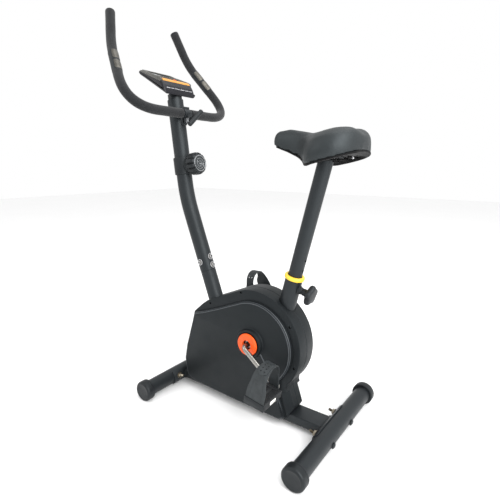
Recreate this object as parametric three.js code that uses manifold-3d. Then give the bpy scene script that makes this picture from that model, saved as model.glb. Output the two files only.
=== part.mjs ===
// Upright magnetic exercise bike, in millimetres, +Z up.
// X runs from the handlebar (-X) back to the saddle (+X), Y from the rider's left (-Y) to the right (+Y).
// Every place below is measured from the rear stabiliser's axis (x = 0) and from the floor (z = 0);
// the last lines move the whole bike so that its origin is the bottom centre of its bounding box.
import * as THREE from 'three';
import { mergeVertices } from 'three/addons/utils/BufferGeometryUtils.js';
import Module from 'manifold-3d';

const wasm = await Module();
wasm.setup();

// ---- Driving dimensions -------------------------------------------------------------------------

const ORIGIN_TO_REAR_AXIS = 348.2;
const GAP = 0.3;
const DEGREE = Math.PI / 180;

const STABILISER = { radius: 25, wall: 1.5, z: 32.2, frontX: -584.7, frontHalf: 203, rearHalf: 238.5 };
const CAP = { radius: 33, length: 27, floor: 3 };
const CRADLE = { radius: 28.3, halfAngle: 60 * DEGREE, halfWidth: 84 };
const CARRIAGE_BOLT = { radius: 4, headRadius: 9, y: 61, tilt: 13 * DEGREE, length: 72 };
const MAIN_TUBE = { halfWidth: 31.5, bottom: 15.5, top: 42.5, wall: 2 };

const POST = { radius: 25, wall: 1.5, bendRadius: 470, top: at(-600.9, 0, 1002), corner: at(-556.2, 0, 658) };
const POST_JOINT = at(-468, 0, 421);
const STUB = { radius: 24.6, insertRadius: 22.5, bore: 20.5, insert: 78 };
const POST_BOLT = { radius: 4, headRadius: 7.5 };

const SEAT_TUBE = { radius: 25, wall: 2, top: at(-142.8, 0, 448), lean: 14.2 * DEGREE };
const SEAT_POST = { radius: 20, wall: 2, insert: 135, top: 779 };
const SEAT_KNOB_DROP = 25;

const CRANK = {
  centre: at(-257, 0, 241), length: 142, angle: -34.5 * DEGREE, radius: 7.5, hubY: 89, eyeY: 97,
};
const PEDAL = {
  length: 62, width: 84, thickness: 21, y: 153, leftPitch: 9 * DEGREE, rightPitch: -2 * DEGREE,
};
const STRAP = { thickness: 3, leftRise: 93, rightRise: 81, topRadius: 39, topWidth: 35, footWidth: 54 };

const FLYWHEEL = { centre: at(-425, 0, 160), radius: 92, inner: 74, yFrom: -46, yTo: -28 };
const BELT = { bigRadius: 108, smallRadius: 14, yFrom: 29, yTo: 39, thickness: 2.5 };
const MAGNET_PIVOT = at(-350, 0, 72);

const CASING = { rimHalf: 40, panelHalf: 51.6, wall: 3, rimCentre: at(-253.1, 0, 242.7), rimRadius: 158 };
const PANEL = { centre: at(-250, 0, 239), radius: 129.5 };
const CRANK_COVER = { radius: 34, hole: 14, yFrom: 66.3, yTo: 73 };

const BAR = { radius: 11, wall: 1.5, centre: at(-549.9, 0, 918.3), gripRadius: 14.3, tubeEndGap: 9 };
const BAR_CORNER = at(-549.9, 228.5, 918.3);
const BAR_KNEE = at(-691, 159.5, 1106);
const BAR_TIP = at(-726.8, 128.8, 1213.9);
const CLAMP = { halfWidth: 15, outer: 14, screwDrop: 22.5, screwTilt: 0.2 };
const TENSION = { z: 757, bodyRadius: 21, knobRadius: 35, knobFrom: 43.5, knobTo: 77 };

const CONSOLE = { halfWidth: 66, rearTop: at(-585.3, 0, 1013.2), frontTop: at(-681.5, 0, 1054.6) };
const CONSOLE_FLOOR = { rear: at(-572, 0, 973), front: at(-685, 0, 1039.5) };
const CONSOLE_NOSE = [[-685, 1039.5], [-691, 1045.5], [-689.5, 1052], [-681.5, 1054.6]];
const CONSOLE_LIP = [[-585.3, 1013.2], [-577.5, 1001], [-573, 989], [-570.5, 977], [-572, 973]];
const DISPLAY = { from: 22, to: 97, halfWidth: 57, depth: 2.2 };
const BUTTON = { at: 12.5, radius: 5.5, proud: 2.2 };

const SADDLE = { floor: 761, panTop: 797, nose: -213, rear: 44, halfWidth: 114 };

// ---- Materials ----------------------------------------------------------------------------------

const paint = finish(0x3a3e42, 0.42, 0.35);
const casingPlastic = finish(0x35393c, 0.55, 0);
const blackPlastic = finish(0x1d1f21, 0.5, 0);
const foam = finish(0x202225, 0.9, 0);
const vinyl = finish(0x303437, 0.5, 0);
const orangePlastic = finish(0xff5f19, 0.45, 0);
const yellowPlastic = finish(0xf5d24b, 0.4, 0);
const chrome = finish(0xc9ccce, 0.2, 1);
const zinc = finish(0xb5aa92, 0.4, 0.9);
const steel = finish(0x8d9296, 0.4, 0.9);
const beltRubber = finish(0x151515, 0.8, 0);
const displayGlass = finish(0x6f777b, 0.25, 0);

// ---- Building blocks ----------------------------------------------------------------------------

function at(x, y, z) {
  return new THREE.Vector3(x, y, z);
}

function finish(color, roughness, metalness) {
  return new THREE.MeshStandardMaterial({ color, roughness, metalness });
}

// A closed three.js geometry as a manifold solid with its faces pointing out.
function solid(geometry) {
  const bare = new THREE.BufferGeometry();
  bare.setAttribute('position', geometry.getAttribute('position'));
  bare.setIndex(geometry.index);
  const merged = mergeVertices(bare, 1e-4);
  const vertProperties = merged.getAttribute('position').array;
  const corners = Array.from(merged.index.array);
  const triVerts = [];
  for (let i = 0; i < corners.length; i += 3) {
    const [a, b, c] = corners.slice(i, i + 3);
    if (a !== b && b !== c && c !== a) triVerts.push(a, b, c);
  }
  const body = manifold(vertProperties, triVerts);
  if (body.volume() > 0) return body;
  return manifold(vertProperties, triVerts.reverse());
}

function manifold(vertProperties, triVerts) {
  return new wasm.Manifold(new wasm.Mesh({
    numProp: 3,
    vertProperties: Float32Array.from(vertProperties),
    triVerts: Uint32Array.from(triVerts),
  }));
}

function joined(...solids) {
  return solids.reduce((whole, piece) => whole.add(piece));
}

function cut(body, ...tools) {
  return tools.reduce((rest, tool) => rest.subtract(tool), body);
}

// Stands a geometry that was made along +Y on a start point, along a direction.
function placed(geometry, start, direction) {
  const turn = new THREE.Quaternion().setFromUnitVectors(at(0, 1, 0), direction.clone().normalize());
  return geometry.applyQuaternion(turn).translate(start.x, start.y, start.z);
}

// A turned piece: [radius, distance along the axis] pairs, from a start point along a direction.
function turned(profile, start, direction, sides = 24) {
  const points = profile.map(([r, h]) => new THREE.Vector2(r, h));
  return solid(placed(new THREE.LatheGeometry(points, sides), start, direction));
}

function rod(radius, start, end, sides = 20) {
  const span = end.clone().sub(start);
  return turned([[0, 0], [radius, 0], [radius, span.length()], [0, span.length()]], start, span, sides);
}

function pipe(outer, inner, start, end, sides = 24) {
  const span = end.clone().sub(start);
  const length = span.length();
  const wall = [[inner, 0], [outer, 0], [outer, length], [inner, length], [inner, 0]];
  return turned(wall, start, span, sides);
}

function block(low, high) {
  const size = high.clone().sub(low);
  const middle = low.clone().add(high).multiplyScalar(0.5);
  return solid(new THREE.BoxGeometry(size.x, size.y, size.z).translate(middle.x, middle.y, middle.z));
}

// A shape drawn in X and Z, given thickness along Y.
function plate(shape, yFrom, yTo, curveSegments = 12) {
  const depth = yTo - yFrom;
  const geometry = new THREE.ExtrudeGeometry(shape, { depth, bevelEnabled: false, curveSegments });
  return solid(geometry.rotateX(Math.PI / 2).translate(0, yTo, 0));
}

function outline(points) {
  return new THREE.Shape(points.map(([x, z]) => new THREE.Vector2(x, z)));
}

function ring(outer, inner) {
  const shape = new THREE.Shape().absarc(0, 0, outer, 0, 2 * Math.PI);
  if (inner > 0) shape.holes.push(new THREE.Path().absarc(0, 0, inner, 0, 2 * Math.PI, true));
  return shape;
}

function sweep(shape, path, steps, curveSegments) {
  return solid(new THREE.ExtrudeGeometry(shape, { extrudePath: path, steps, curveSegments }));
}

// Straight runs joined by round bends: one radius for each inner point.
function bentPath(points, radii) {
  const path = new THREE.CurvePath();
  let last = points[0];
  for (let i = 1; i < points.length - 1; i += 1) {
    const back = points[i - 1].clone().sub(points[i]).normalize();
    const ahead = points[i + 1].clone().sub(points[i]).normalize();
    const trim = radii[i - 1] / Math.tan(back.angleTo(ahead) / 2);
    const enter = points[i].clone().addScaledVector(back, trim);
    const leave = points[i].clone().addScaledVector(ahead, trim);
    path.add(new THREE.LineCurve3(last, enter));
    path.add(new THREE.QuadraticBezierCurve3(enter, points[i], leave));
    last = leave;
  }
  path.add(new THREE.LineCurve3(last, points[points.length - 1]));
  return path;
}

function along(start, direction, distance) {
  return start.clone().addScaledVector(direction, distance);
}

function mirrored(point) {
  return at(point.x, -point.y, point.z);
}

const bike = new THREE.Group();

function add(name, body, material) {
  const mesh = body.getMesh();
  const geometry = new THREE.BufferGeometry();
  geometry.setAttribute('position', new THREE.BufferAttribute(Float32Array.from(mesh.vertProperties), 3));
  geometry.setIndex(Array.from(mesh.triVerts));
  geometry.computeVertexNormals();
  const part = new THREE.Mesh(geometry, material);
  part.name = name;
  bike.add(part);
}

const SIDES = [['left', -1], ['right', 1]];
const SIDEWAYS = at(0, 1, 0);

// ---- Base: two stabilisers joined by the main tube ----------------------------------------------

// One stabiliser tube, its bolted cradle, end caps, bolts and nuts. `inward` points at the other one.
function addStabiliser(end, x, half, inward) {
  const axis = at(x, 0, STABILISER.z);
  const boltLine = at(inward * Math.cos(CARRIAGE_BOLT.tilt), 0, Math.sin(CARRIAGE_BOLT.tilt));
  const boltStarts = SIDES.map(([, side]) =>
    along(at(x, side * CARRIAGE_BOLT.y, STABILISER.z), boltLine, -STABILISER.radius - GAP));
  const holes = boltStarts.map((start) =>
    rod(CARRIAGE_BOLT.radius + GAP, along(start, boltLine, -5),
      along(start, boltLine, CARRIAGE_BOLT.length), 8));

  const reach = half - CAP.floor - GAP;
  const tube = pipe(STABILISER.radius, STABILISER.radius - STABILISER.wall,
    at(x, -reach, STABILISER.z), at(x, reach, STABILISER.z), 22);
  add(`${end}_stabiliser`, cut(tube, ...holes), paint);

  const middle = inward > 0 ? 0 : Math.PI;
  const cradle = new THREE.Shape();
  cradle.absarc(x, STABILISER.z, CRADLE.radius, middle - CRADLE.halfAngle, middle + CRADLE.halfAngle);
  const inner = STABILISER.radius + GAP;
  cradle.absarc(x, STABILISER.z, inner, middle + CRADLE.halfAngle, middle - CRADLE.halfAngle, true);
  add(`${end}_cradle`, cut(plate(cradle, -CRADLE.halfWidth, CRADLE.halfWidth, 6), ...holes), paint);

  SIDES.forEach(([name, side], i) => {
    add(`${end}_bolt_${name}`, turned([
      [0, -5], [5, -4], [8, -2], [CARRIAGE_BOLT.headRadius, -GAP], [CARRIAGE_BOLT.radius, -GAP],
      [CARRIAGE_BOLT.radius, CARRIAGE_BOLT.length], [0, CARRIAGE_BOLT.length],
    ], boltStarts[i], boltLine, 8), zinc);
    const nutFrom = along(axis.clone().setY(side * CARRIAGE_BOLT.y), boltLine, CRADLE.radius + GAP);
    const nutTo = along(nutFrom, boltLine, 7);
    add(`${end}_nut_${name}`, pipe(8, CARRIAGE_BOLT.radius + 1, nutFrom, nutTo, 6), zinc);

    const inner = at(x, side * (half - CAP.length), STABILISER.z);
    const bore = STABILISER.radius + GAP;
    const depth = CAP.length - CAP.floor;
    const cap = turned([
      [0, depth], [bore, depth], [bore, 0], [CAP.radius, 0], [CAP.radius, 22], [30, 26], [22, 27], [0, 27],
    ], inner, at(0, side, 0), 22);
    add(`${end}_cap_${name}`, cut(cap, block(at(x - 50, -300, -20), at(x + 50, 300, 0))), blackPlastic);
  });
}

addStabiliser('front', STABILISER.frontX, STABILISER.frontHalf, 1);
addStabiliser('rear', 0, STABILISER.rearHalf, -1);

function mainTube() {
  const { halfWidth, bottom, top, wall } = MAIN_TUBE;
  const outer = block(at(STABILISER.frontX, -halfWidth, bottom), at(0, halfWidth, top));
  const boreHalf = halfWidth - wall;
  const bore = block(at(STABILISER.frontX - 1, -boreHalf, bottom + wall), at(1, boreHalf, top - wall));
  const seats = [STABILISER.frontX, 0].map((x) =>
    rod(CRADLE.radius + 0.8, at(x, -60, STABILISER.z), at(x, 60, STABILISER.z), 32));
  return cut(outer, bore, ...seats);
}

add('main_tube', mainTube(), paint);

// ---- Upright tubes ------------------------------------------------------------------------------

const postLowDirection = POST.corner.clone().sub(POST_JOINT).normalize();
const postHighDirection = POST.top.clone().sub(POST.corner).normalize();
const seatDirection = at(Math.sin(SEAT_TUBE.lean), 0, Math.cos(SEAT_TUBE.lean));
const belowTubes = block(at(-700, -60, -100), at(100, 60, MAIN_TUBE.top + GAP));

// The point of a slanted centre line at a given height.
function atHeight(start, direction, z) {
  return along(start, direction, (z - start.z) / direction.z);
}

// The three bolts of the post joint: [name, height, side the bolt comes in from].
const postAcross = at(postLowDirection.z, 0, -postLowDirection.x);
const POST_BOLTS = [
  ['upper', 460, postAcross],
  ['lower', 434, postAcross],
  ['left', 451, at(0, -1, 0)],
];
const postBoltHoles = POST_BOLTS.map(([, z, from]) => {
  const centre = atHeight(POST_JOINT, postLowDirection, z);
  return rod(POST_BOLT.radius + GAP, along(centre, from, 12), along(centre, from, 40), 8);
});

// The lower tube ends flush under the post, and a narrower neck goes up inside it.
function stubTube(foot, head) {
  const shoulder = along(POST_JOINT, postLowDirection, -GAP);
  const shell = joined(rod(STUB.radius, foot, shoulder, 20), rod(STUB.insertRadius, foot, head, 16));
  return cut(shell, rod(STUB.bore, along(foot, postLowDirection, -5), along(head, postLowDirection, 5), 16));
}

function postStub() {
  const foot = atHeight(POST_JOINT, postLowDirection, 20);
  const head = along(POST_JOINT, postLowDirection, STUB.insert);
  const cableExit = atHeight(POST_JOINT, postLowDirection, 262);
  return cut(
    stubTube(foot, head),
    belowTubes,
    rod(6, cableExit, along(cableExit, at(0, -1, 0), 40), 8),
    ...postBoltHoles,
  );
}

add('post_stub', postStub(), paint);

function seatTube() {
  const foot = atHeight(SEAT_TUBE.top, seatDirection, 20);
  const pin = along(SEAT_TUBE.top, seatDirection, -SEAT_KNOB_DROP);
  const nut = rod(10, along(pin, seatAcross, 22), along(pin, seatAcross, 34), 16);
  const bore = rod(SEAT_TUBE.radius - SEAT_TUBE.wall, foot, along(SEAT_TUBE.top, seatDirection, 2), 20);
  const pinHole = rod(6, pin, along(pin, seatAcross, 60), 14);
  const outer = rod(SEAT_TUBE.radius, foot, SEAT_TUBE.top, 20);
  return cut(joined(outer, nut), bore, pinHole, belowTubes);
}

const seatAcross = at(seatDirection.z, 0, -seatDirection.x);
add('seat_tube', seatTube(), paint);

// The crank's bearing shell, with the lug that is welded to the seat tube.
function bottomBracket() {
  const { x, z } = CRANK.centre;
  const shell = rod(27, at(x, -36, z), at(x, 26, z), 20);
  const lug = block(at(x, -14, z - 18), at(x + 62, 14, z + 14));
  const foot = atHeight(SEAT_TUBE.top, seatDirection, 100);
  const seat = rod(SEAT_TUBE.radius + 0.6, foot, SEAT_TUBE.top, 20);
  const beyond = plate(outline([[-196, 100], [-168.8, 241], [-140, 340], [-60, 340], [-60, 100]]), -40, 40);
  const bore = rod(CRANK.radius + 0.6, at(x, -60, z), at(x, 60, z), 16);
  return cut(joined(shell, lug), seat, beyond, bore);
}

add('bottom_bracket', bottomBracket(), paint);

// ---- Flywheel, its bracket and the magnetic brake -----------------------------------------------

function flywheelBracket() {
  const { x, z } = FLYWHEEL.centre;
  const web = outline([[x - 45, 42.8], [x - 14, z], [x + 14, z], [x + 24, 84],
    [MAGNET_PIVOT.x - 10, 84], [MAGNET_PIVOT.x + 10, 84], [MAGNET_PIVOT.x + 10, 42.8]]);
  const stub = rod(STUB.radius + GAP, atHeight(POST_JOINT, postLowDirection, 20), POST_JOINT, 24);
  return cut(
    joined(
      plate(web, -26, -23.2),
      rod(17, at(x, -26, z), at(x, 24, z), 24),
      rod(4, at(MAGNET_PIVOT.x, -48, MAGNET_PIVOT.z), at(MAGNET_PIVOT.x, -24, MAGNET_PIVOT.z), 14),
    ),
    rod(6.3, at(x, -60, z), at(x, 60, z), 20),
    stub,
    belowTubes,
  );
}

function flywheel() {
  const { centre, radius, inner, yFrom, yTo } = FLYWHEEL;
  const width = yTo - yFrom;
  return turned([
    [6.3, 0], [18, 0], [18, 6], [inner, 6], [inner, 0], [radius, 0],
    [radius, width], [inner, width], [inner, 12], [18, 12], [18, width], [6.3, width], [6.3, 0],
  ], at(centre.x, yFrom, centre.z), SIDEWAYS, 24);
}

function flywheelShaft() {
  const { centre, yFrom } = FLYWHEEL;
  const start = yFrom - 1.5;
  const small = BELT.smallRadius;
  return turned([
    [0, 0], [6, 0], [6, BELT.yFrom - 3 - start], [small + 2.5, BELT.yFrom - 3 - start],
    [small + 2.5, BELT.yFrom - 1 - start], [small, BELT.yFrom - 1 - start], [small, BELT.yTo + 1 - start],
    [small + 2.5, BELT.yTo + 1 - start], [small + 2.5, BELT.yTo + 3 - start], [0, BELT.yTo + 3 - start],
  ], at(centre.x, start, centre.z), SIDEWAYS, 14);
}

function magnetBracket() {
  const { x, z } = FLYWHEEL.centre;
  const [inner, outer, from, to] = [97, 101, -34 * DEGREE, 62 * DEGREE];
  const shoe = new THREE.Shape();
  shoe.absarc(x, z, outer, from, to);
  shoe.absarc(x, z, inner, to, from, true);
  const arm = outline([[x + 76, z - 61], [x + 86, z - 50], [x + 90, z - 88], [x + 68, z - 100]]);
  return cut(
    joined(plate(shoe, -45, -29, 8), plate(arm, -45, -29)),
    rod(4 + GAP, at(MAGNET_PIVOT.x, -60, MAGNET_PIVOT.z), at(MAGNET_PIVOT.x, 0, MAGNET_PIVOT.z), 14),
  );
}

add('flywheel_bracket', flywheelBracket(), paint);
add('flywheel', flywheel(), steel);
add('flywheel_shaft', flywheelShaft(), steel);
add('magnet_bracket', magnetBracket(), zinc);

// ---- Belt drive ---------------------------------------------------------------------------------

function drivePulley() {
  const { x, z } = CRANK.centre;
  const { bigRadius, yFrom } = BELT;
  const windows = [0, 1, 2, 3, 4].map((i) => {
    const turn = i * 72 * DEGREE;
    const [holeX, holeZ] = [x + 62 * Math.cos(turn), z + 62 * Math.sin(turn)];
    return rod(24, at(holeX, 20, holeZ), at(holeX, 50, holeZ), 10);
  });
  const wheel = turned([
    [CRANK.radius + 0.6, 0], [bigRadius, 0], [bigRadius, 12], [98, 12], [98, 7], [22, 7], [22, 13],
    [CRANK.radius + 0.6, 13], [CRANK.radius + 0.6, 0],
  ], at(x, yFrom - 1, z), SIDEWAYS, 28);
  return cut(wheel, ...windows);
}

// Two arcs joined by the belt's straight runs, at a distance outside both pulleys.
function beltLoop(offset) {
  const from = CRANK.centre;
  const to = FLYWHEEL.centre;
  const heading = Math.atan2(to.z - from.z, to.x - from.x);
  const spread = Math.acos((BELT.bigRadius - BELT.smallRadius) / from.distanceTo(to));
  const loop = new THREE.Shape();
  loop.absarc(from.x, from.z, BELT.bigRadius + offset, heading + spread, heading - spread + 2 * Math.PI);
  loop.absarc(to.x, to.z, BELT.smallRadius + offset, heading - spread, heading + spread);
  return loop;
}

function driveBelt() {
  const { yFrom, yTo, thickness } = BELT;
  return cut(plate(beltLoop(1.4 + thickness), yFrom + 1, yTo - 1, 12), plate(beltLoop(1.4), yFrom, yTo, 12));
}

add('drive_pulley', drivePulley(), blackPlastic);
add('drive_belt', driveBelt(), beltRubber);

// ---- One-piece crank and pedals -----------------------------------------------------------------

// The pedal spindle's centre in the crank's eye: the left crank points back and down, the right one opposite.
function eye(side) {
  const [dx, dz] = [CRANK.length * Math.cos(CRANK.angle), CRANK.length * Math.sin(CRANK.angle)];
  return at(CRANK.centre.x - side * dx, side * CRANK.eyeY, CRANK.centre.z - side * dz);
}

function crank() {
  const { x, z } = CRANK.centre;
  const points = [eye(-1), at(x, -CRANK.hubY, z), at(x, CRANK.hubY, z), eye(1)];
  const forging = sweep(ring(CRANK.radius, 0), bentPath(points, [16, 16]), 32, 5);
  const across = (side, half) => [along(eye(side), SIDEWAYS, -half), along(eye(side), SIDEWAYS, half)];
  const eyes = SIDES.map(([, side]) => rod(11, ...across(side, 8), 14));
  const bores = SIDES.map(([, side]) => rod(6.4, ...across(side, 30), 12));
  return cut(joined(forging, ...eyes), ...bores);
}

add('crank', crank(), chrome);

// Moves a solid made around the pedal's centre to its crank eye, at the pedal's own tilt.
function onPedal(geometry, side) {
  const centre = eye(side);
  const pitch = side < 0 ? PEDAL.leftPitch : PEDAL.rightPitch;
  return solid(geometry.rotateY(pitch).translate(centre.x, side * PEDAL.y, centre.z));
}

function pedalBody(side) {
  const { length, width, thickness } = PEDAL;
  const rim = new THREE.BoxGeometry(length, width, thickness);
  const windows = [-1, 1].map((end) =>
    onPedal(new THREE.BoxGeometry(12, width - 20, 40).translate(end * 20, 0, 0), side));
  const centre = eye(side);
  const bore = rod(6.4, at(centre.x, side * 90, centre.z), at(centre.x, side * 186, centre.z), 14);
  return cut(onPedal(rim, side), bore, ...windows);
}

// A band over the foot, buckled to its own height on each pedal. Its legs stand outside the pedal's ends,
// lean in to a round top and narrow on the way up.
function pedalStrap(side) {
  const { thickness, leftRise, rightRise, topRadius, topWidth, footWidth } = STRAP;
  const rise = side < 0 ? leftRise : rightRise;
  const half = PEDAL.width / 2 + GAP + thickness;
  const arch = (inset) => {
    const shape = new THREE.Shape();
    shape.moveTo(inset - half, -7 - 3 * inset);
    shape.lineTo(inset - half, 14);
    shape.lineTo(inset - topRadius, rise - topRadius);
    shape.absarc(0, rise - topRadius, topRadius - inset, Math.PI, 0, true);
    shape.lineTo(half - inset, 14);
    shape.lineTo(half - inset, -7 - 3 * inset);
    return shape;
  };
  const flat = { bevelEnabled: false, curveSegments: 8 };
  const hoop = (shape, depth) => new THREE.ExtrudeGeometry(shape, { ...flat, depth })
    .translate(0, 0, -depth / 2).rotateX(Math.PI / 2).rotateZ(Math.PI / 2);
  const band = cut(onPedal(hoop(arch(0), footWidth), side), onPedal(hoop(arch(thickness), 90), side));
  const taper = [1, -1].map((end) => onPedal(new THREE.ExtrudeGeometry(
    outline([
      [end * topWidth / 2, rise + 5], [end * topWidth / 2, rise * 0.7], [end * 40, -10], [end * 60, rise + 5],
    ]),
    { depth: 120, bevelEnabled: false }).rotateX(Math.PI / 2).translate(0, 60, 0), side));
  const centre = eye(side);
  const spindleHole = rod(8, at(centre.x, side * 90, centre.z), at(centre.x, side * 150, centre.z), 10);
  return cut(band, spindleHole, ...taper);
}

SIDES.forEach(([name, side]) => {
  const centre = eye(side);
  add(`pedal_${name}`, pedalBody(side), blackPlastic);
  add(`pedal_strap_${name}`, pedalStrap(side), beltRubber);
  add(`pedal_spindle_${name}`,
    rod(6, at(centre.x, side * 88, centre.z), at(centre.x, side * 184, centre.z), 14), steel);
});

// ---- Casing -------------------------------------------------------------------------------------

// The whole casing seen from the side: a round back, a sloping top and a raked front. `inset` shrinks it.
function casingOutline(inset) {
  const { rimCentre, rimRadius } = CASING;
  const shape = new THREE.Shape();
  shape.moveTo(-150 - inset, 20 + inset);
  shape.lineTo(-141 - inset, 22 + inset);
  shape.lineTo(-117 - inset, 62);
  shape.lineTo(-138 - inset, 124);
  shape.absarc(rimCentre.x, rimCentre.z, rimRadius - inset, -44 * DEGREE, 114 * DEGREE);
  shape.lineTo(-440 + inset * 0.4, 332.5 - inset);
  shape.lineTo(-461 + inset * 0.7, 317 - inset);
  shape.lineTo(-498 + inset, 284 - inset * 0.8);
  shape.lineTo(-532 + inset, 162);
  shape.lineTo(-543 + inset, 108);
  shape.lineTo(-540 + inset, 84);
  shape.lineTo(-531 + inset, 46 + inset * 0.6);
  shape.lineTo(-517 + inset, 36 + inset);
  shape.lineTo(-490, 28 + inset);
  shape.lineTo(-320, 22 + inset);
  return shape;
}

// The raised side panel: a round field around the crank that runs forward to the front edge.
function panelOutline(inset) {
  const shape = new THREE.Shape();
  shape.moveTo(-152 - inset, 22 + inset);
  shape.lineTo(-136 - inset, 34);
  shape.lineTo(-160 - inset, 96);
  shape.absarc(PANEL.centre.x, PANEL.centre.z, PANEL.radius - inset, -46 * DEGREE, 113 * DEGREE);
  shape.lineTo(-393, 319 - inset);
  shape.lineTo(-443, 299 - inset);
  shape.lineTo(-490 + inset, 283 - inset * 0.8);
  shape.lineTo(-528 + inset, 162);
  shape.lineTo(-539 + inset, 108);
  shape.lineTo(-536 + inset, 84);
  shape.lineTo(-527 + inset, 48 + inset * 0.6);
  shape.lineTo(-513 + inset, 39 + inset);
  shape.lineTo(-486, 31 + inset);
  shape.lineTo(-320, 25 + inset);
  return shape;
}

// The slanted corner that narrows the casing's tail from the panel to the back edge, `grow` mm thicker.
function tailCorner(side, grow) {
  const points = [[-30 - 1.6 * grow, 54], [20, 54], [20, 14 - 1.6 * grow]];
  const corner = new THREE.Shape(points.map(([x, y]) => new THREE.Vector2(x, side * y)));
  const geometry = new THREE.ExtrudeGeometry(corner, { depth: 98, bevelEnabled: false })
    .translate(0, 0, -49)
    .rotateY(-18.5 * DEGREE)
    .translate(-117 - 9.5, 0, 62 + 5);
  return solid(geometry);
}

// One half of the casing, split at y = 0, open where the tubes and the crank pass through it.
function casingHalf(side) {
  const { rimHalf, panelHalf, wall } = CASING;
  const slab = (shape, from, to, curveSegments) =>
    plate(shape, Math.min(side * from, side * to), Math.max(side * from, side * to), curveSegments);
  const { x, z } = CRANK.centre;
  const boss = rod(37.5, at(x, side * (panelHalf - wall), z), at(x, side * (CRANK_COVER.yFrom - GAP), z), 22);
  const rim = slab(casingOutline(0), 0.15, rimHalf, 12);
  const outer = joined(rim, slab(panelOutline(0), rimHalf - 1, panelHalf, 12), boss);
  const cavity = cut(joined(
    slab(casingOutline(wall), -1, rimHalf - wall, 8),
    slab(panelOutline(wall), rimHalf - wall - 1, panelHalf - wall, 8),
  ), tailCorner(side, wall));
  const spine = block(at(-620, -MAIN_TUBE.halfWidth - GAP, 0), at(-60, MAIN_TUBE.halfWidth + GAP, 43));
  const seatLow = atHeight(SEAT_TUBE.top, seatDirection, 200);
  const stubLow = atHeight(POST_JOINT, postLowDirection, 100);
  return cut(
    outer,
    cavity,
    tailCorner(side, 0),
    spine,
    rod(SEAT_TUBE.radius + 1, seatLow, SEAT_TUBE.top, 20),
    rod(STUB.radius + 1, stubLow, POST_JOINT, 18),
    rod(CRANK.radius + 6, at(x, side * 30, z), at(x, side * 90, z), 16),
  );
}

SIDES.forEach(([name, side]) => {
  const { x, z } = CRANK.centre;
  add(`casing_${name}`, casingHalf(side), casingPlastic);
  add(`crank_cover_${name}`,
    pipe(CRANK_COVER.radius, CRANK_COVER.hole, at(x, side * CRANK_COVER.yFrom, z),
      at(x, side * CRANK_COVER.yTo, z), 24),
    orangePlastic);
});

// ---- Handlebar post -----------------------------------------------------------------------------

const tensionCentre = atHeight(POST.corner, postHighDirection, TENSION.z);
const tensionAcross = at(postHighDirection.z, 0, -postHighDirection.x);
const clampScrew = at(BAR.centre.x, 0, BAR.centre.z - CLAMP.screwDrop);
const screwDirection = at(1, 0, CLAMP.screwTilt).normalize();

// Everything above the console's sloping underside, and a little below it.
function aboveConsoleFloor() {
  const { rear, front } = CONSOLE_FLOOR;
  const slope = (front.z - rear.z) / (front.x - rear.x);
  const height = (x) => rear.z + slope * (x - rear.x) - 0.5;
  return plate(outline([[-700, height(-700)], [-550, height(-550)], [-550, 1100], [-700, 1100]]), -80, 80);
}

// Half of a round clamp shell around the bar, on the post's side (-1) or the rider's side (1).
function clampShell(side) {
  const { x, z } = BAR.centre;
  const tube = pipe(CLAMP.outer, BAR.radius + GAP, at(x, -CLAMP.halfWidth, z), at(x, CLAMP.halfWidth, z), 16);
  const other = block(at(x - 40, -30, z - 40), at(x + 40, 30, z + 40))
    .translate([-side * 40 + side * GAP, 0, 0]);
  return cut(tube, other);
}

function handlebarPost() {
  const path = bentPath([POST_JOINT, POST.corner, POST.top], [POST.bendRadius]);
  const tube = sweep(ring(POST.radius, POST.radius - POST.wall), path, 14, 9);
  const { x, z } = BAR.centre;
  const lug = block(at(x - 22, -10, z - 32), at(x - 5, 10, z - 10));
  const bore = rod(POST.radius - POST.wall - 1, along(POST.top, postHighDirection, -110), POST.top, 12);
  const grip = rod(BAR.radius + GAP, at(x, -30, z), at(x, 30, z), 16);
  const thread = rod(4.6, along(clampScrew, screwDirection, -26), along(clampScrew, screwDirection, 10), 12);
  const cableEntry = rod(5, tensionCentre, along(tensionCentre, tensionAcross, 40), 12);
  const post = joined(tube, clampShell(-1), lug);
  return cut(post, bore, grip, thread, cableEntry, aboveConsoleFloor(), ...postBoltHoles);
}

add('handlebar_post', handlebarPost(), paint);

POST_BOLTS.forEach(([name, z, from]) => {
  const centre = atHeight(POST_JOINT, postLowDirection, z);
  const seat = POST.radius + GAP;
  add(`post_bolt_${name}`, turned([
    [0, 16], [POST_BOLT.radius, 16], [POST_BOLT.radius, seat], [9.5, seat], [9.5, seat + 1.5],
    [POST_BOLT.headRadius, seat + 1.5], [POST_BOLT.headRadius - 1, seat + 4.5], [4, seat + 6], [0, seat + 6],
  ], centre, from, 8), zinc);
});

// ---- Tension control ----------------------------------------------------------------------------

function tensionHousing() {
  const low = along(tensionCentre, postHighDirection, -27);
  const high = along(tensionCentre, postHighDirection, 27);
  const bossEnd = along(tensionCentre, tensionAcross, TENSION.knobFrom - 1);
  const boss = rod(TENSION.bodyRadius, tensionCentre, bossEnd, 20);
  const [under, over] = [along(low, postHighDirection, -5), along(high, postHighDirection, 5)];
  const postSpace = rod(POST.radius + 0.5, under, over, 20);
  const spindle = rod(5, tensionCentre, along(tensionCentre, tensionAcross, 60), 14);
  return cut(joined(rod(29, low, high, 20), boss), postSpace, spindle);
}

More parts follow.
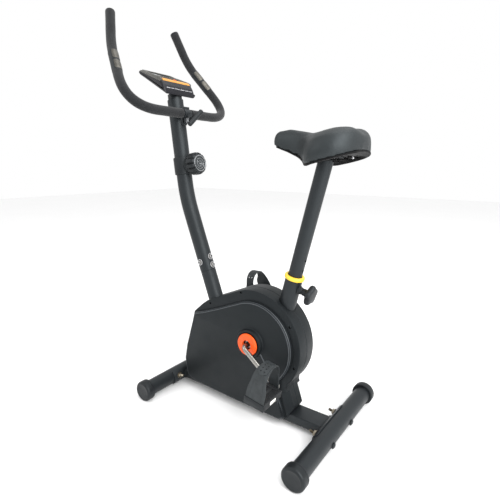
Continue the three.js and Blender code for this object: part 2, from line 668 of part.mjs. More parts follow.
function tensionKnob() {
  const { knobRadius, knobFrom, knobTo } = TENSION;
  const flutes = 12;
  const rim = new THREE.Shape();
  for (let i = 0; i < flutes * 3; i += 1) {
    const turn = (i / (flutes * 3)) * 2 * Math.PI;
    const radius = knobRadius - (i % 3 === 0 ? 3 : 0);
    const [u, v] = [radius * Math.cos(turn), radius * Math.sin(turn)];
    if (i === 0) rim.moveTo(u, v);
    else rim.lineTo(u, v);
  }
  const body = new THREE.ExtrudeGeometry(rim, {
    depth: knobTo - knobFrom - 10, bevelEnabled: true, bevelThickness: 5, bevelSize: 5, bevelOffset: -5,
    bevelSegments: 1,
  }).rotateX(-Math.PI / 2).translate(0, knobFrom + 5, 0);
  const spindleFrom = along(tensionCentre, tensionAcross, 29);
  const spindle = rod(4.6, spindleFrom, along(tensionCentre, tensionAcross, knobFrom + 5), 14);
  return joined(solid(placed(body, tensionCentre, tensionAcross)), spindle);
}

// The brake cable: from the tension control down inside the post, and out to the magnet bracket.
function tensionCable() {
  const low = (z) => atHeight(POST_JOINT, postLowDirection, z);
  const route = new THREE.CatmullRomCurve3([
    along(tensionCentre, tensionAcross, 25),
    along(tensionCentre, tensionAcross, 14).add(at(0, 0, -2)),
    atHeight(POST.corner, postHighDirection, TENSION.z - 20),
    atHeight(POST.corner, postHighDirection, 705),
    at(-550, 0, 656),
    low(590), low(500), low(400), low(310), low(282),
    low(268).add(at(0, -10, 0)),
    low(260).add(at(2, -27, 0)),
    low(256).add(at(8, -35, 0)),
  ]);
  return sweep(ring(2, 0), route, 28, 3);
}

add('tension_housing', tensionHousing(), blackPlastic);
add('tension_knob', tensionKnob(), blackPlastic);
add('tension_cable', tensionCable(), beltRubber);

// ---- Handlebar ----------------------------------------------------------------------------------

const barPath = bentPath(
  [mirrored(BAR_TIP), mirrored(BAR_KNEE), mirrored(BAR_CORNER), BAR_CORNER, BAR_KNEE, BAR_TIP],
  [260, 88, 88, 260],
);
const barLength = barPath.getLength();

// A stretch of the bar's centre line, measured from its middle towards one side.
class BarStretch extends THREE.Curve {
  constructor(side, from, to) {
    super();
    Object.assign(this, { side, from, to });
  }

  getPoint(t, target = new THREE.Vector3()) {
    const distance = this.from + (this.to - this.from) * t;
    return target.copy(barPath.getPointAt(0.5 + (this.side * distance) / barLength));
  }
}

const GRIP_START = 18;
const SENSOR = { from: 312, to: 378, radius: 15.8 };

function grip(side) {
  const stretch = new BarStretch(side, GRIP_START, barLength / 2);
  const sleeve = sweep(ring(BAR.gripRadius, BAR.radius + 1.7), stretch, 22, 5);
  const tip = stretch.getPoint(1);
  const inner = new BarStretch(side, 0, barLength / 2 - BAR.tubeEndGap + 1).getPoint(1);
  return joined(sleeve, rod(BAR.gripRadius - 0.8, inner, tip, 8));
}

add('handlebar', sweep(ring(BAR.radius, BAR.radius - BAR.wall),
  new BarStretch(1, -barLength / 2 + BAR.tubeEndGap, barLength / 2 - BAR.tubeEndGap), 40, 4), paint);
SIDES.forEach(([name, side]) => {
  add(`grip_${name}`, grip(side), foam);
  add(`pulse_sensor_${name}`,
    sweep(ring(SENSOR.radius, BAR.gripRadius + 0.8), new BarStretch(side, SENSOR.from, SENSOR.to), 3, 6),
    chrome);
});

function clampCap() {
  const { x } = BAR.centre;
  const ear = block(at(x + 0.6, -10, clampScrew.z - 9), at(x + 5, 10, BAR.centre.z - BAR.radius - 1));
  const crest = block(at(x + 0.6, -10, BAR.centre.z + BAR.radius + 1), at(x + 5, 10, BAR.centre.z + 20));
  const bore = rod(BAR.radius + GAP, at(x, -30, BAR.centre.z), at(x, 30, BAR.centre.z), 16);
  const hole = rod(4.6, along(clampScrew, screwDirection, -5), along(clampScrew, screwDirection, 20), 12);
  return cut(joined(clampShell(1), ear, crest), bore, hole);
}

// A T-shaped hand screw that closes the clamp.
function clampKnob() {
  const centre = along(clampScrew, screwDirection, 42);
  const lean = at(0, 0.78, 0.626);
  const bar = rod(7.5, along(centre, lean, -36), along(centre, lean, 36), 14);
  const neck = rod(6, along(clampScrew, screwDirection, 22), centre, 14);
  const screw = rod(4, along(clampScrew, screwDirection, -16), centre, 12);
  return joined(bar, neck, screw);
}

add('clamp_cap', clampCap(), paint);
add('clamp_knob', clampKnob(), blackPlastic);

// ---- Console ------------------------------------------------------------------------------------

const consoleSlope = CONSOLE.frontTop.clone().sub(CONSOLE.rearTop).normalize();
const consoleUp = at(consoleSlope.z, 0, -consoleSlope.x);

// A box laid on the console's top face: distances from the rear edge, half width, and heights.
function onConsole(from, to, half, low, high) {
  const tilt = Math.atan2(consoleSlope.z, -consoleSlope.x);
  const geometry = new THREE.BoxGeometry(to - from, 2 * half, high - low)
    .translate(-(from + to) / 2, 0, (low + high) / 2)
    .rotateY(tilt)
    .translate(CONSOLE.rearTop.x, 0, CONSOLE.rearTop.z);
  return solid(geometry);
}

function consolePoint(distance, height) {
  return along(along(CONSOLE.rearTop, consoleSlope, distance), consoleUp, height);
}

function consoleHousing() {
  const profile = [...CONSOLE_NOSE, ...CONSOLE_LIP];
  const body = plate(outline(profile), -CONSOLE.halfWidth, CONSOLE.halfWidth);
  return cut(
    body,
    onConsole(DISPLAY.from, DISPLAY.to, DISPLAY.halfWidth, -DISPLAY.depth, 10),
    rod(BUTTON.radius + GAP, consolePoint(BUTTON.at, -6), consolePoint(BUTTON.at, 10), 18),
  );
}

// A plug pressed into the post's top, which carries the console.
function consoleBracket() {
  const low = along(POST.top, postHighDirection, -62);
  return cut(rod(POST.radius - POST.wall - 1.2, low, POST.top, 16), aboveConsoleFloor());
}

add('console_housing', consoleHousing(), blackPlastic);
add('console_display',
  onConsole(DISPLAY.from + GAP, DISPLAY.to - GAP, DISPLAY.halfWidth - GAP, GAP - DISPLAY.depth, -0.2),
  displayGlass);
add('console_button',
  rod(BUTTON.radius, consolePoint(BUTTON.at, -4), consolePoint(BUTTON.at, BUTTON.proud), 18),
  orangePlastic);
add('console_bracket', consoleBracket(), blackPlastic);

// ---- Seat post, its collar and knob -------------------------------------------------------------

function seatCollar() {
  const bore = SEAT_POST.radius + GAP;
  return turned([
    [bore, -16], [22.6, -16], [22.6, GAP], [27, GAP], [28.6, 2], [28.6, 9], [27, 11], [bore, 11], [bore, -16],
  ], SEAT_TUBE.top, seatDirection, 20);
}

function seatPost() {
  const foot = along(SEAT_TUBE.top, seatDirection, -SEAT_POST.insert);
  const head = atHeight(SEAT_TUBE.top, seatDirection, SEAT_POST.top);
  const headPlate = block(
    at(head.x - 38, -24, SEAT_POST.top - 1),
    at(head.x + 38, 24, SEAT_BASE_FLOOR - 0.5),
  );
  const holes = [-70, -39, -8, 32, 63].map((offset) => {
    const centre = along(SEAT_TUBE.top, seatDirection, offset);
    return rod(4.5, centre, along(centre, seatAcross, 30), 7);
  });
  const tube = pipe(SEAT_POST.radius, SEAT_POST.radius - SEAT_POST.wall, foot, head, 18);
  return cut(joined(tube, headPlate), ...holes);
}

// A spring pin with a five-lobed grip; its nose rests against the post between two of the height holes.
function seatKnob() {
  const pin = along(SEAT_TUBE.top, seatDirection, -SEAT_KNOB_DROP);
  const lobes = 5;
  const rim = new THREE.Shape();
  for (let i = 0; i < 30; i += 1) {
    const turn = (i / 30) * 2 * Math.PI;
    const radius = 27 + 2.5 * Math.cos(lobes * turn);
    if (i === 0) rim.moveTo(radius, 0);
    else rim.lineTo(radius * Math.cos(turn), radius * Math.sin(turn));
  }
  const handle = new THREE.ExtrudeGeometry(rim, {
    depth: 12, bevelEnabled: true, bevelThickness: 4, bevelSize: 4, bevelOffset: -4, bevelSegments: 1,
  }).rotateX(-Math.PI / 2).translate(0, 55, 0);
  const shank = rod(5.5, along(pin, seatAcross, SEAT_POST.radius + 0.6), along(pin, seatAcross, 55), 14);
  return joined(solid(placed(handle, pin, seatAcross)), shank);
}

const SEAT_BASE_FLOOR = 785;
add('seat_collar', seatCollar(), yellowPlastic);
add('seat_post', seatPost(), paint);
add('seat_knob', seatKnob(), blackPlastic);

// ---- Saddle -------------------------------------------------------------------------------------

// The saddle seen from above: a narrow nose that widens into a round back.
function saddlePlan(inset) {
  const { nose, rear, halfWidth } = SADDLE;
  const w = halfWidth - inset;
  const n = 25 - inset * 0.6;
  const front = nose + inset;
  const back = rear - inset;
  const shape = new THREE.Shape();
  shape.moveTo(front, 0);
  shape.bezierCurveTo(front, n * 0.7, front + 12, n, front + 40, n + 2);
  shape.bezierCurveTo(-130, n + 12, -118, w, -52, w);
  shape.bezierCurveTo(0, w, back, w * 0.72, back, 0);
  shape.bezierCurveTo(back, -w * 0.72, 0, -w, -52, -w);
  shape.bezierCurveTo(-118, -w, -130, -n - 12, front + 40, -n - 2);
  shape.bezierCurveTo(front + 12, -n, front, -n * 0.7, front, 0);
  return shape;
}

// The saddle seen from the side: a level top, a raised nose and back, and a skirt lowest at the hips.
function saddleSide() {
  const { nose, rear, floor } = SADDLE;
  const shape = new THREE.Shape();
  shape.moveTo(nose, 819);
  shape.bezierCurveTo(nose + 3, 838, nose + 16, 849, nose + 34, 850);
  shape.bezierCurveTo(-120, 846, -95, 840, -78, 840);
  shape.bezierCurveTo(-50, 842, -30, 848, -10, 848);
  shape.bezierCurveTo(23, 847, rear, 835, rear, 806);
  shape.bezierCurveTo(rear, 796, rear - 4, 791, rear - 12, 789);
  shape.lineTo(-26, 771);
  shape.lineTo(-66, floor);
  shape.bezierCurveTo(-82, floor + 4, -88, 776, -105, 781);
  shape.bezierCurveTo(-140, 790, -175, 803, -200, 806);
  shape.bezierCurveTo(nose + 4, 807, nose, 811, nose, 819);
  return shape;
}

// The saddle seen from behind: a crowned top with a shallow channel, and full sides.
function saddleCrown() {
  const { halfWidth, floor } = SADDLE;
  const w = halfWidth + 1;
  const shape = new THREE.Shape();
  shape.moveTo(-w, floor - 5);
  shape.lineTo(-w, 792);
  shape.bezierCurveTo(-w, 816, -92, 832, -62, 843);
  shape.bezierCurveTo(-40, 850, -20, 851, 0, 849);
  shape.bezierCurveTo(20, 851, 40, 850, 62, 843);
  shape.bezierCurveTo(92, 832, w, 816, w, 792);
  shape.lineTo(w, floor - 5);
  return shape;
}

function plan(shape, zFrom, zTo) {
  const depth = zTo - zFrom;
  const geometry = new THREE.ExtrudeGeometry(shape, { depth, bevelEnabled: false, curveSegments: 7 });
  return solid(geometry.translate(0, 0, zFrom));
}

function saddle() {
  const settings = { depth: 400, bevelEnabled: false, curveSegments: 5 };
  const crown = new THREE.ExtrudeGeometry(saddleCrown(), settings)
    .rotateX(Math.PI / 2).rotateZ(Math.PI / 2).translate(-250, 0, 0);
  const whole = plan(saddlePlan(0), SADDLE.floor - 1, 860)
    .intersect(plate(saddleSide(), -200, 200, 7))
    .intersect(solid(crown));
  return cut(whole, plan(saddlePlan(13), 700, SADDLE.panTop));
}

// The plastic pan under the padding, which the seat post's plate is bolted to.
function saddleBase() {
  return plan(saddlePlan(16), SEAT_BASE_FLOOR, SADDLE.panTop - 0.5)
    .intersect(block(at(-120, -200, 700), at(100, 200, 900)));
}

add('saddle', saddle(), vinyl);
add('saddle_base', saddleBase(), blackPlastic);

bike.position.x = ORIGIN_TO_REAR_AXIS;

export default bike;
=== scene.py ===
"""Upright magnetic exercise bike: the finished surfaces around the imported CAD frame.

Lengths in the tables below are millimetres, measured from the rear stabiliser's axis (x = 0), the bike's
middle plane (y = 0) and the floor (z = 0). at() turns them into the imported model's metres.
"""
import math

import bmesh
import bpy
from mathutils import Matrix, Vector


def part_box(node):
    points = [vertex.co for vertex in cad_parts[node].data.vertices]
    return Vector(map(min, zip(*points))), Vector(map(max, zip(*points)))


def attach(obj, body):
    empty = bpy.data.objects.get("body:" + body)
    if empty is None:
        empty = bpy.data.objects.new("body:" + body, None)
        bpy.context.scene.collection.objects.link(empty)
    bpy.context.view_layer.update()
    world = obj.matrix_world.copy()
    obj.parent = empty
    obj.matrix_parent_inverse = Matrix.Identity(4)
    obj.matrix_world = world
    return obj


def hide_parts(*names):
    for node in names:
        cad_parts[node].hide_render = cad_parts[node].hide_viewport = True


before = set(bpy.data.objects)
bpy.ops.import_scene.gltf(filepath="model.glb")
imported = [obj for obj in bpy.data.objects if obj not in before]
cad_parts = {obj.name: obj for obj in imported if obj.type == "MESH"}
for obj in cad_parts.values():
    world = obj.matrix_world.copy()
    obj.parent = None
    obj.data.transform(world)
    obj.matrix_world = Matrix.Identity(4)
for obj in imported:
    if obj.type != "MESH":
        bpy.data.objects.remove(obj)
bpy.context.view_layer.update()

SCENE = bpy.context.scene
DEG = math.pi / 180
REAR_AXIS = sum((corner.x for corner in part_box("rear_stabiliser")), 0.0) / 2
SIDES = (("left", -1), ("right", 1))
LEFTWARD, UPWARD = Vector((0, 1, 0)), Vector((0, 0, 1))


def at(x, y, z):
    return Vector((REAR_AXIS + x / 1000, y / 1000, z / 1000))


def heading(x, y, z):
    return Vector((x, y, z)).normalized()


def outward(side):
    return Vector((0, side, 0))


def forward_of(line):
    """The direction in the middle plane that is square to a line."""
    return Vector((line.z, 0, -line.x))


# ---- Materials ----

COOL = (0.9, 1.0, 1.04, 1)


def tint(colour, factor):
    return tuple(min(1.0, channel * factor) for channel in colour) + (1.0,)


class Surface:
    """A principled material whose colour, roughness and relief come from layered procedural patterns."""

    def __init__(self, name, colour, roughness, **fixed):
        self.material = bpy.data.materials.new(name)
        self.material.use_nodes = True
        self.nodes = self.material.node_tree.nodes
        self.links = self.material.node_tree.links
        self.shader = self.nodes["Principled BSDF"]
        for socket, value in fixed.items():
            self.shader.inputs[socket.replace("_", " ")].default_value = value
        self.colour = colour
        self.place = self.nodes.new("ShaderNodeTexCoord").outputs["Object"]
        self.normal = None
        self.shader.inputs["Base Color"].default_value = tint(colour, 1)
        self.shader.inputs["Roughness"].default_value = roughness

    def node(self, kind, sources, **values):
        """A new node with its linked sockets and its set ones."""
        made = self.nodes.new("ShaderNode" + kind)
        for socket, value in values.items():
            made.inputs[socket.replace("_", " ")].default_value = value
        for socket, source in sources.items():
            self.links.new(source, made.inputs[socket])
        return made

    def pattern(self, scale, kind, stretch=None):
        """Noise with a number of octaves, or the cells of a named Voronoi feature."""
        place = self.place
        if stretch:
            place = self.node("Mapping", {"Vector": place}, Scale=stretch).outputs["Vector"]
        if isinstance(kind, str):
            cells = self.node("TexVoronoi", {"Vector": place}, Scale=scale)
            cells.feature = kind
            return cells.outputs["Distance"]
        return self.node("TexNoise", {"Vector": place}, Scale=scale, Detail=kind).outputs["Fac"]

    def ranged(self, value, low, high, from_low=0.3):
        limits = {"From Min": from_low, "From Max": 0.7, "To Min": low, "To Max": high}
        node = self.node("MapRange", {"Value": value}, **limits)
        return node.outputs["Result"]

    def vary_colour(self, value, low, high, from_low=0.3):
        mix = self.nodes.new("ShaderNodeMix")
        mix.data_type = "RGBA"
        mix.inputs[6].default_value = tint(self.colour, low)
        mix.inputs[7].default_value = tint(self.colour, high)
        self.links.new(self.ranged(value, 0, 1, from_low), mix.inputs[0])
        self.links.new(mix.outputs[2], self.shader.inputs["Base Color"])

    def relief(self, height, strength, distance):
        bump = self.node("Bump", {"Height": height}, Strength=strength, Distance=distance)
        if self.normal:
            self.links.new(self.normal, bump.inputs["Normal"])
        self.normal = bump.outputs["Normal"]
        self.links.new(self.normal, self.shader.inputs["Normal"])


MATERIALS = {}


def material(key, slot, name, colour, roughness, shade, gloss=None, grain=(), brushed=None, **fixed):
    """Registers one material. Its patterns are (scale, kind, and what they drive): shade goes between two
    tints of the colour, gloss between two roughnesses, and each row of grain has a strength and a depth."""
    surface = Surface(name, colour, roughness, **fixed)
    surface.vary_colour(surface.pattern(*shade[:2]), *shade[2:])
    if gloss:
        glossy = surface.ranged(surface.pattern(*gloss[:2], brushed), *gloss[2:])
        surface.links.new(glossy, surface.shader.inputs["Roughness"])
    for scale, kind, strength, depth in grain:
        surface.relief(surface.pattern(scale, kind), strength, depth)
    MATERIALS[key] = (surface.material, slot)


# Powder coat on the tubes.
material("paint", "frame_paint", "powder_coat", (0.0085, 0.0098, 0.0112), 0.48, shade=(9, 4, 0.9, 1.12),
         gloss=(26, 3, 0.43, 0.52), grain=[(420, 2, 0.16, 0.0006), (1500, 2, 0.1, 0.0002)],
         Specular_IOR_Level=0.31, Coat_Weight=0.06, Specular_Tint=COOL, Coat_Roughness=0.25)
# Casing halves.
material("shell", "casing_plastic", "casing_shell", (0.0056, 0.0068, 0.0078), 0.5,
         shade=(7, 4, 0.92, 1.1), gloss=(18, 3, 0.46, 0.56),
         grain=[(900, "F1", 0.16, 0.0003), (60, 2, 0.04, 0.0006)], Specular_IOR_Level=0.24,
         Specular_Tint=COOL)
# Painted highlight: a lighter strip round the casing panel's raised edge, also used on the rib below the
# crank, for the light those edges catch.
material("edge", "casing_plastic", "casing_painted_highlight", (0.034, 0.040, 0.046), 0.4, shade=(20, 3, 0.8, 1.2),
         gloss=(50, 3, 0.34, 0.46), grain=[(900, "F1", 0.12, 0.0002)], Specular_IOR_Level=0.5)
# Small mouldings.
material("black", "black_plastic", "black_moulding", (0.006, 0.0067, 0.0078), 0.46,
         shade=(30, 4, 0.8, 1.25), gloss=(60, 3, 0.4, 0.54), grain=[(1300, "F1", 0.2, 0.0002)],
         Specular_IOR_Level=0.32, Specular_Tint=(0.92, 1.0, 1.03, 1))
# Pedal bodies.
material("pedal", "black_plastic", "pedal_moulding", (0.0135, 0.0145, 0.0158), 0.55,
         shade=(45, 4, 0.8, 1.2), gloss=(80, 3, 0.48, 0.62), grain=[(800, "F1", 0.25, 0.0003)],
         Specular_IOR_Level=0.36)
# Underside of the saddle.
material("pan", "black_plastic", "dark_pan", (0.0028, 0.0028, 0.0032), 0.6, shade=(40, 4, 0.7, 1.3),
         grain=[(300, 3, 0.25, 0.0005)], Specular_IOR_Level=0.14)
# Console housing.
material("gloss", "black_plastic", "gloss_lip", (0.0062, 0.0062, 0.0088), 0.34, shade=(25, 3, 0.85, 1.2),
         gloss=(80, 4, 0.3, 0.4), Specular_IOR_Level=0.24, Coat_Weight=0.05, Coat_Roughness=0.08)
# Handlebar grips.
material("foam", "foam", "grip_foam", (0.0085, 0.0093, 0.0105), 0.8, shade=(120, 4, 0.75, 1.3),
         grain=[(700, "F1", 0.5, 0.0004), (70, 3, 0.2, 0.001)], Specular_IOR_Level=0.22,
         Sheen_Weight=0.15, Sheen_Roughness=0.5)
# Saddle cover.
material("vinyl", "saddle_vinyl", "saddle_vinyl", (0.0105, 0.0125, 0.0135), 0.5,
         shade=(14, 4, 0.88, 1.14), gloss=(40, 3, 0.47, 0.56),
         grain=[(520, "SMOOTH_F1", 0.28, 0.0005), (900, 3, 0.12, 0.0002)], Specular_IOR_Level=0.4,
         Specular_Tint=COOL)
# Crank rings and console button.
material("orange", "orange_plastic", "orange_moulding", (0.88, 0.092, 0.004), 0.42,
         shade=(60, 3, 0.86, 1.0), gloss=(90, 3, 0.36, 0.5), grain=[(1200, "F1", 0.15, 0.0002)],
         Specular_IOR_Level=0.45)
# Console label and roll.
material("amber", "orange_plastic", "amber_band", (0.56, 0.25, 0.045), 0.35, shade=(40, 3, 0.85, 1.1),
         gloss=(80, 3, 0.3, 0.42), Specular_IOR_Level=0.5)
# Seat collar.
material("yellow", "yellow_plastic", "yellow_moulding", (0.88, 0.58, 0.045), 0.38,
         shade=(50, 3, 0.88, 1.06), gloss=(110, 3, 0.32, 0.46), Specular_IOR_Level=0.5)
# Plated crank.
material("bright", "bright_metal", "bright_plate", (0.30, 0.29, 0.27), 0.27, shade=(35, 4, 0.86, 1.1),
         gloss=(120, 4, 0.17, 0.34), brushed=(1, 6, 1), Metallic=1.0)
# Pulse sensor plates.
material("satin", "bright_metal", "satin_plate", (0.105, 0.10, 0.088), 0.42, shade=(60, 4, 0.8, 1.12),
         gloss=(200, 4, 0.3, 0.46), Metallic=0.9)
# Bolts and nuts.
material("zinc", "zinc_hardware", "zinc_plate", (0.27, 0.24, 0.19), 0.36, shade=(130, 4, 0.7, 1.15),
         gloss=(240, 4, 0.26, 0.46), Metallic=1.0)
# Turned parts.
material("steel", "machined_steel", "turned_steel", (0.30, 0.31, 0.32), 0.34, shade=(20, 4, 0.8, 1.15),
         gloss=(240, 3, 0.26, 0.44), brushed=(1, 8, 1), Metallic=1.0)
# Straps.
material("rubber", "strap_rubber", "strap_rubber", (0.0215, 0.0255, 0.0275), 0.6,
         shade=(60, 4, 0.8, 1.25), gloss=(90, 3, 0.52, 0.68), grain=[(650, "F1", 0.3, 0.0003)],
         Specular_IOR_Level=0.35)
# Pedal reflectors.
material("reflector", "bright_metal", "reflector", (0.92, 0.90, 0.86), 0.16,
         shade=(420, "F1", 0.75, 1.0, 0.1), grain=[(420, "F1", 0.4, 0.0005)], Specular_IOR_Level=0.6,
         Coat_Weight=0.5)
# Display window.
material("glass", "display_window", "display_window", (0.16, 0.18, 0.18), 0.12, shade=(30, 2, 0.9, 1.12),
         Specular_IOR_Level=0.6, Coat_Weight=0.6, Coat_Roughness=0.04)
# Console frame and post bolts.
material("bezel", "black_plastic", "console_bezel", (0.062, 0.060, 0.053), 0.42,
         shade=(30, 3, 0.88, 1.12), gloss=(90, 3, 0.36, 0.48), grain=[(1100, "F1", 0.15, 0.0002)],
         Specular_IOR_Level=0.5)
# Printed and plated accents.
material("trim", "bright_metal", "silver_trim", (0.62, 0.62, 0.64), 0.3, shade=(140, 3, 0.85, 1.08),
         gloss=(220, 3, 0.24, 0.38), Metallic=0.6)


# ---- Mesh building ----

def linked(name, data):
    obj = bpy.data.objects.new(name, data)
    SCENE.collection.objects.link(obj)
    return obj


def dress(obj, material_key, body, replaces=(), crease=35):
    """Gives a finished mesh its material, its smooth and sharp edges and its body."""
    finish, slot = MATERIALS[material_key]
    obj.data.materials.clear()
    obj.data.materials.append(finish)
    obj.data.shade_smooth()
    obj.data.set_sharp_from_angle(angle=crease * DEG)
    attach(obj, body)
    if replaces:
        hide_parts(*replaces)


def merged(*parts):
    """Several (points, faces) as one."""
    points, faces = [], []
    for some_points, some_faces in parts:
        start = len(points)
        points += some_points
        faces += [[i + start for i in face] for face in some_faces]
    return points, faces


def raw(name, geometry):
    """A mesh object from (points, faces), with doubled points merged and faces turned out."""
    mesh = bpy.data.meshes.new(name)
    mesh.from_pydata([tuple(p) for p in geometry[0]], [], geometry[1])
    work = bmesh.new()
    work.from_mesh(mesh)
    bmesh.ops.remove_doubles(work, verts=work.verts, dist=2e-6)
    bmesh.ops.recalc_face_normals(work, faces=work.faces)
    work.to_mesh(mesh)
    work.free()
    return linked(name, mesh)


def piece(name, geometry, material_key, body, replaces=()):
    dress(raw(name, geometry), material_key, body, replaces)


def settled(obj):
    """Applies obj's modifiers to its mesh."""
    bpy.context.view_layer.update()
    graph = bpy.context.evaluated_depsgraph_get()
    mesh = bpy.data.meshes.new_from_object(obj.evaluated_get(graph))
    obj.modifiers.clear()
    obj.data = mesh


def carved(obj, cutters):
    """Cuts each cutter out of obj, and takes the cutters away."""
    for tool in cutters:
        modifier = obj.modifiers.new("cut", "BOOLEAN")
        modifier.solver = "EXACT"
        modifier.object = tool
    settled(obj)
    for tool in cutters:
        bpy.data.objects.remove(tool)


def loft(rings, closed=False):
    """Faces between rings of equally many points. Open lofts get end faces; closed ones join up."""
    count = len(rings[0])
    points = [p for ring in rings for p in ring]
    faces = []
    for i in range(len(rings) if closed else len(rings) - 1):
        low, high = i * count, ((i + 1) % len(rings)) * count
        for k in range(count):
            after = (k + 1) % count
            faces.append([low + k, low + after, high + after, high + k])
    if not closed:
        faces.append(list(range(count)))
        faces.append([(len(rings) - 1) * count + k for k in range(count)])
    return points, faces


def across(direction):
    """Two unit vectors square to a direction."""
    helper = UPWARD if abs(direction.z) < 0.9 else Vector((1, 0, 0))
    u = direction.cross(helper).normalized()
    return u, direction.cross(u).normalized()


def circle(middle, u, v, reach, angles):
    """Points round a middle, from u towards v. reach is millimetres, or a function of the angle."""
    reaches = [reach(a) if callable(reach) else reach for a in angles]
    return [middle + (u * math.cos(a) + v * math.sin(a)) * (r / 1000) for a, r in zip(angles, reaches)]


def around(count, extra=0):
    """Evenly spaced angles round a circle, with any extra ones past its start."""
    return [2 * math.pi * k / count for k in range(count + extra)]


def turned(profile, start, direction, segments=48, closed=False):
    """A turned piece: (radius, distance) pairs in millimetres, along a direction."""
    u, v = across(direction)
    angles = around(segments)
    return loft([circle(start + direction * (d / 1000), u, v, r, angles) for r, d in profile], closed)


def rod(radius, start, end, edge=0.6, segments=40):
    """A round bar with softened ends."""
    length = (end - start).length * 1000
    head = [(0, 0), (radius - edge, 0), (radius - edge * 0.3, edge * 0.3), (radius, edge)]
    profile = head + [(r, length - d) for r, d in reversed(head)]
    return turned(profile, start, (end - start).normalized(), segments)


def corner_curve(enter, corner, leave, steps):
    """A parabola from enter to leave, drawn towards a corner."""
    shares = [k / steps for k in range(steps + 1)]
    return [enter * (1 - t) ** 2 + corner * (2 * t * (1 - t)) + leave * t * t for t in shares]


def filleted(points, radius, steps=4):
    """A closed outline with its corners rounded. radius is one number, or one for each corner."""
    radii = radius if isinstance(radius, (list, tuple)) else [radius] * len(points)
    result = []
    for i, corner in enumerate(points):
        corner = Vector(corner)
        back = Vector(points[i - 1]) - corner
        ahead = Vector(points[(i + 1) % len(points)]) - corner
        angle = back.angle(ahead)
        trim = min(radii[i] / math.tan(angle / 2), back.length * 0.49, ahead.length * 0.49)
        if trim < 1e-6 or angle > 3.1:
            result.append(tuple(corner))
            continue
        enter, leave = corner + back.normalized() * trim, corner + ahead.normalized() * trim
        result += [tuple(p) for p in corner_curve(enter, corner, leave, steps)]
    return result


def rectangle(x0, y0, x1, y1):
    return [(x0, y0), (x1, y0), (x1, y1), (x0, y1)]


def rounded(x0, y0, x1, y1, radius, steps=4):
    return filleted(rectangle(x0, y0, x1, y1), radius, steps)


def inset(points, distance):
    """A closed outline moved inwards by a distance."""
    if not distance:
        return points
    area = sum(a[0] * b[1] - b[0] * a[1] for a, b in zip(points, points[1:] + points[:1]))
    turn = 1 if area > 0 else -1
    result = []
    for i, (x, y) in enumerate(points):
        ax, ay = points[i - 1]
        bx, by = points[(i + 1) % len(points)]
        dx, dy = bx - ax, by - ay
        size = math.hypot(dx, dy) or 1
        result.append((x - turn * distance * dy / size, y + turn * distance * dx / size))
    return result


def arc_points(cx, cy, radius, start, end, count):
    return [(cx + radius * math.cos(a), cy + radius * math.sin(a))
            for a in ((start + (end - start) * k / count) * DEG for k in range(count + 1))]


def arc_band(cx, cy, outer, inner, start, end):
    """The outline between two arcs about one centre."""
    return arc_points(cx, cy, outer, start, end, 24) + arc_points(cx, cy, inner, start, end, 24)[::-1]


def slab(outline, low, high, edge, basis):
    """An outline given thickness from low to high, with softened rims. basis maps (a, b, c) to a point."""
    rims = [(edge, low), (edge * 0.3, low + edge * 0.3), (0, low + edge),
            (0, high - edge), (edge * 0.3, high - edge * 0.3), (edge, high)]
    return loft([[basis(a, b, height) for a, b in inset(outline, shift)] for shift, height in rims])


def upright(a, b, c):
    """Outline in X and Z, thickness along Y."""
    return at(a, c, b)


class Route:
    """A smooth line through space that is measured by its length in millimetres."""

    def __init__(self, points):
        self.points = points
        self.marks = [0.0]
        for a, b in zip(points, points[1:]):
            self.marks.append(self.marks[-1] + (b - a).length * 1000)
        self.length = self.marks[-1]

    def point(self, distance):
        distance = min(max(distance, 0.0), self.length)
        i = 1
        while i < len(self.marks) - 1 and self.marks[i] < distance:
            i += 1
        share = (distance - self.marks[i - 1]) / ((self.marks[i] - self.marks[i - 1]) or 1)
        return self.points[i - 1].lerp(self.points[i], share)

    def tangent(self, distance):
        return (self.point(distance + 1.5) - self.point(distance - 1.5)).normalized()


def bent(points, radii, steps):
    """Straight runs joined by round bends."""
    made = [points[0]]
    for before, corner, after, radius in zip(points, points[1:], points[2:], radii):
        back, ahead = (before - corner).normalized(), (after - corner).normalized()
        trim = radius / 1000 / math.tan(back.angle(ahead) / 2)
        made += corner_curve(corner + back * trim, corner, corner + ahead * trim, steps)
    return Route(made + [points[-1]])


def swept(route, stations, segments=32, section=None):
    """A tube along a route: (distance, radius) stations. section(angle) scales the radius around it."""
    rings = []
    u = None
    for distance, radius in stations:
        tangent = route.tangent(distance)
        u = across(tangent)[0] if u is None else (u - tangent * u.dot(tangent)).normalized()
        reach = (lambda a, radius=radius: radius * section(a)) if section else radius
        rings.append(circle(route.point(distance), u, tangent.cross(u), reach, around(segments)))
    return loft(rings)


def even(start, end, step, radius):
    """Stations of one radius, about a step apart."""
    count = max(2, round(abs(end - start) / step))
    return [(start + (end - start) * k / count, radius) for k in range(count + 1)]


def bead(points, radius):
    """A weld seam: a small rippled ridge along points."""
    route = Route(points)
    count = max(6, round(route.length / 3.2) * 4)
    stations = []
    for k in range(count + 1):
        swell = 1 + 0.12 * math.sin(2 * math.pi * k / 4)
        ends = min(1.0, 0.35 + 0.4 * k, 0.35 + 0.4 * (count - k))
        stations.append((route.length * k / count, radius * swell * ends))
    return swept(route, stations, 10)


def drill(radius, start, end, segments=32):
    """A round cutter."""
    length = (end - start).length * 1000
    profile = [(0, 0), (radius, 0), (radius, length), (0, length)]
    return raw("cutter", turned(profile, start, (end - start).normalized(), segments))


def as_one(cutters):
    """Several separate cutters as one object."""
    work = bmesh.new()
    for item in cutters:
        work.from_mesh(item.data)
        bpy.data.objects.remove(item)
    mesh = bpy.data.meshes.new("cutters")
    work.to_mesh(mesh)
    work.free()
    return linked("cutters", mesh)


# ---- Base ----

STABILISERS = (("front", -584.7, 203.0, 1), ("rear", 0.0, 238.5, -1))
STABILISER_Z = 32.2
BOLT_TILT = 13 * DEG


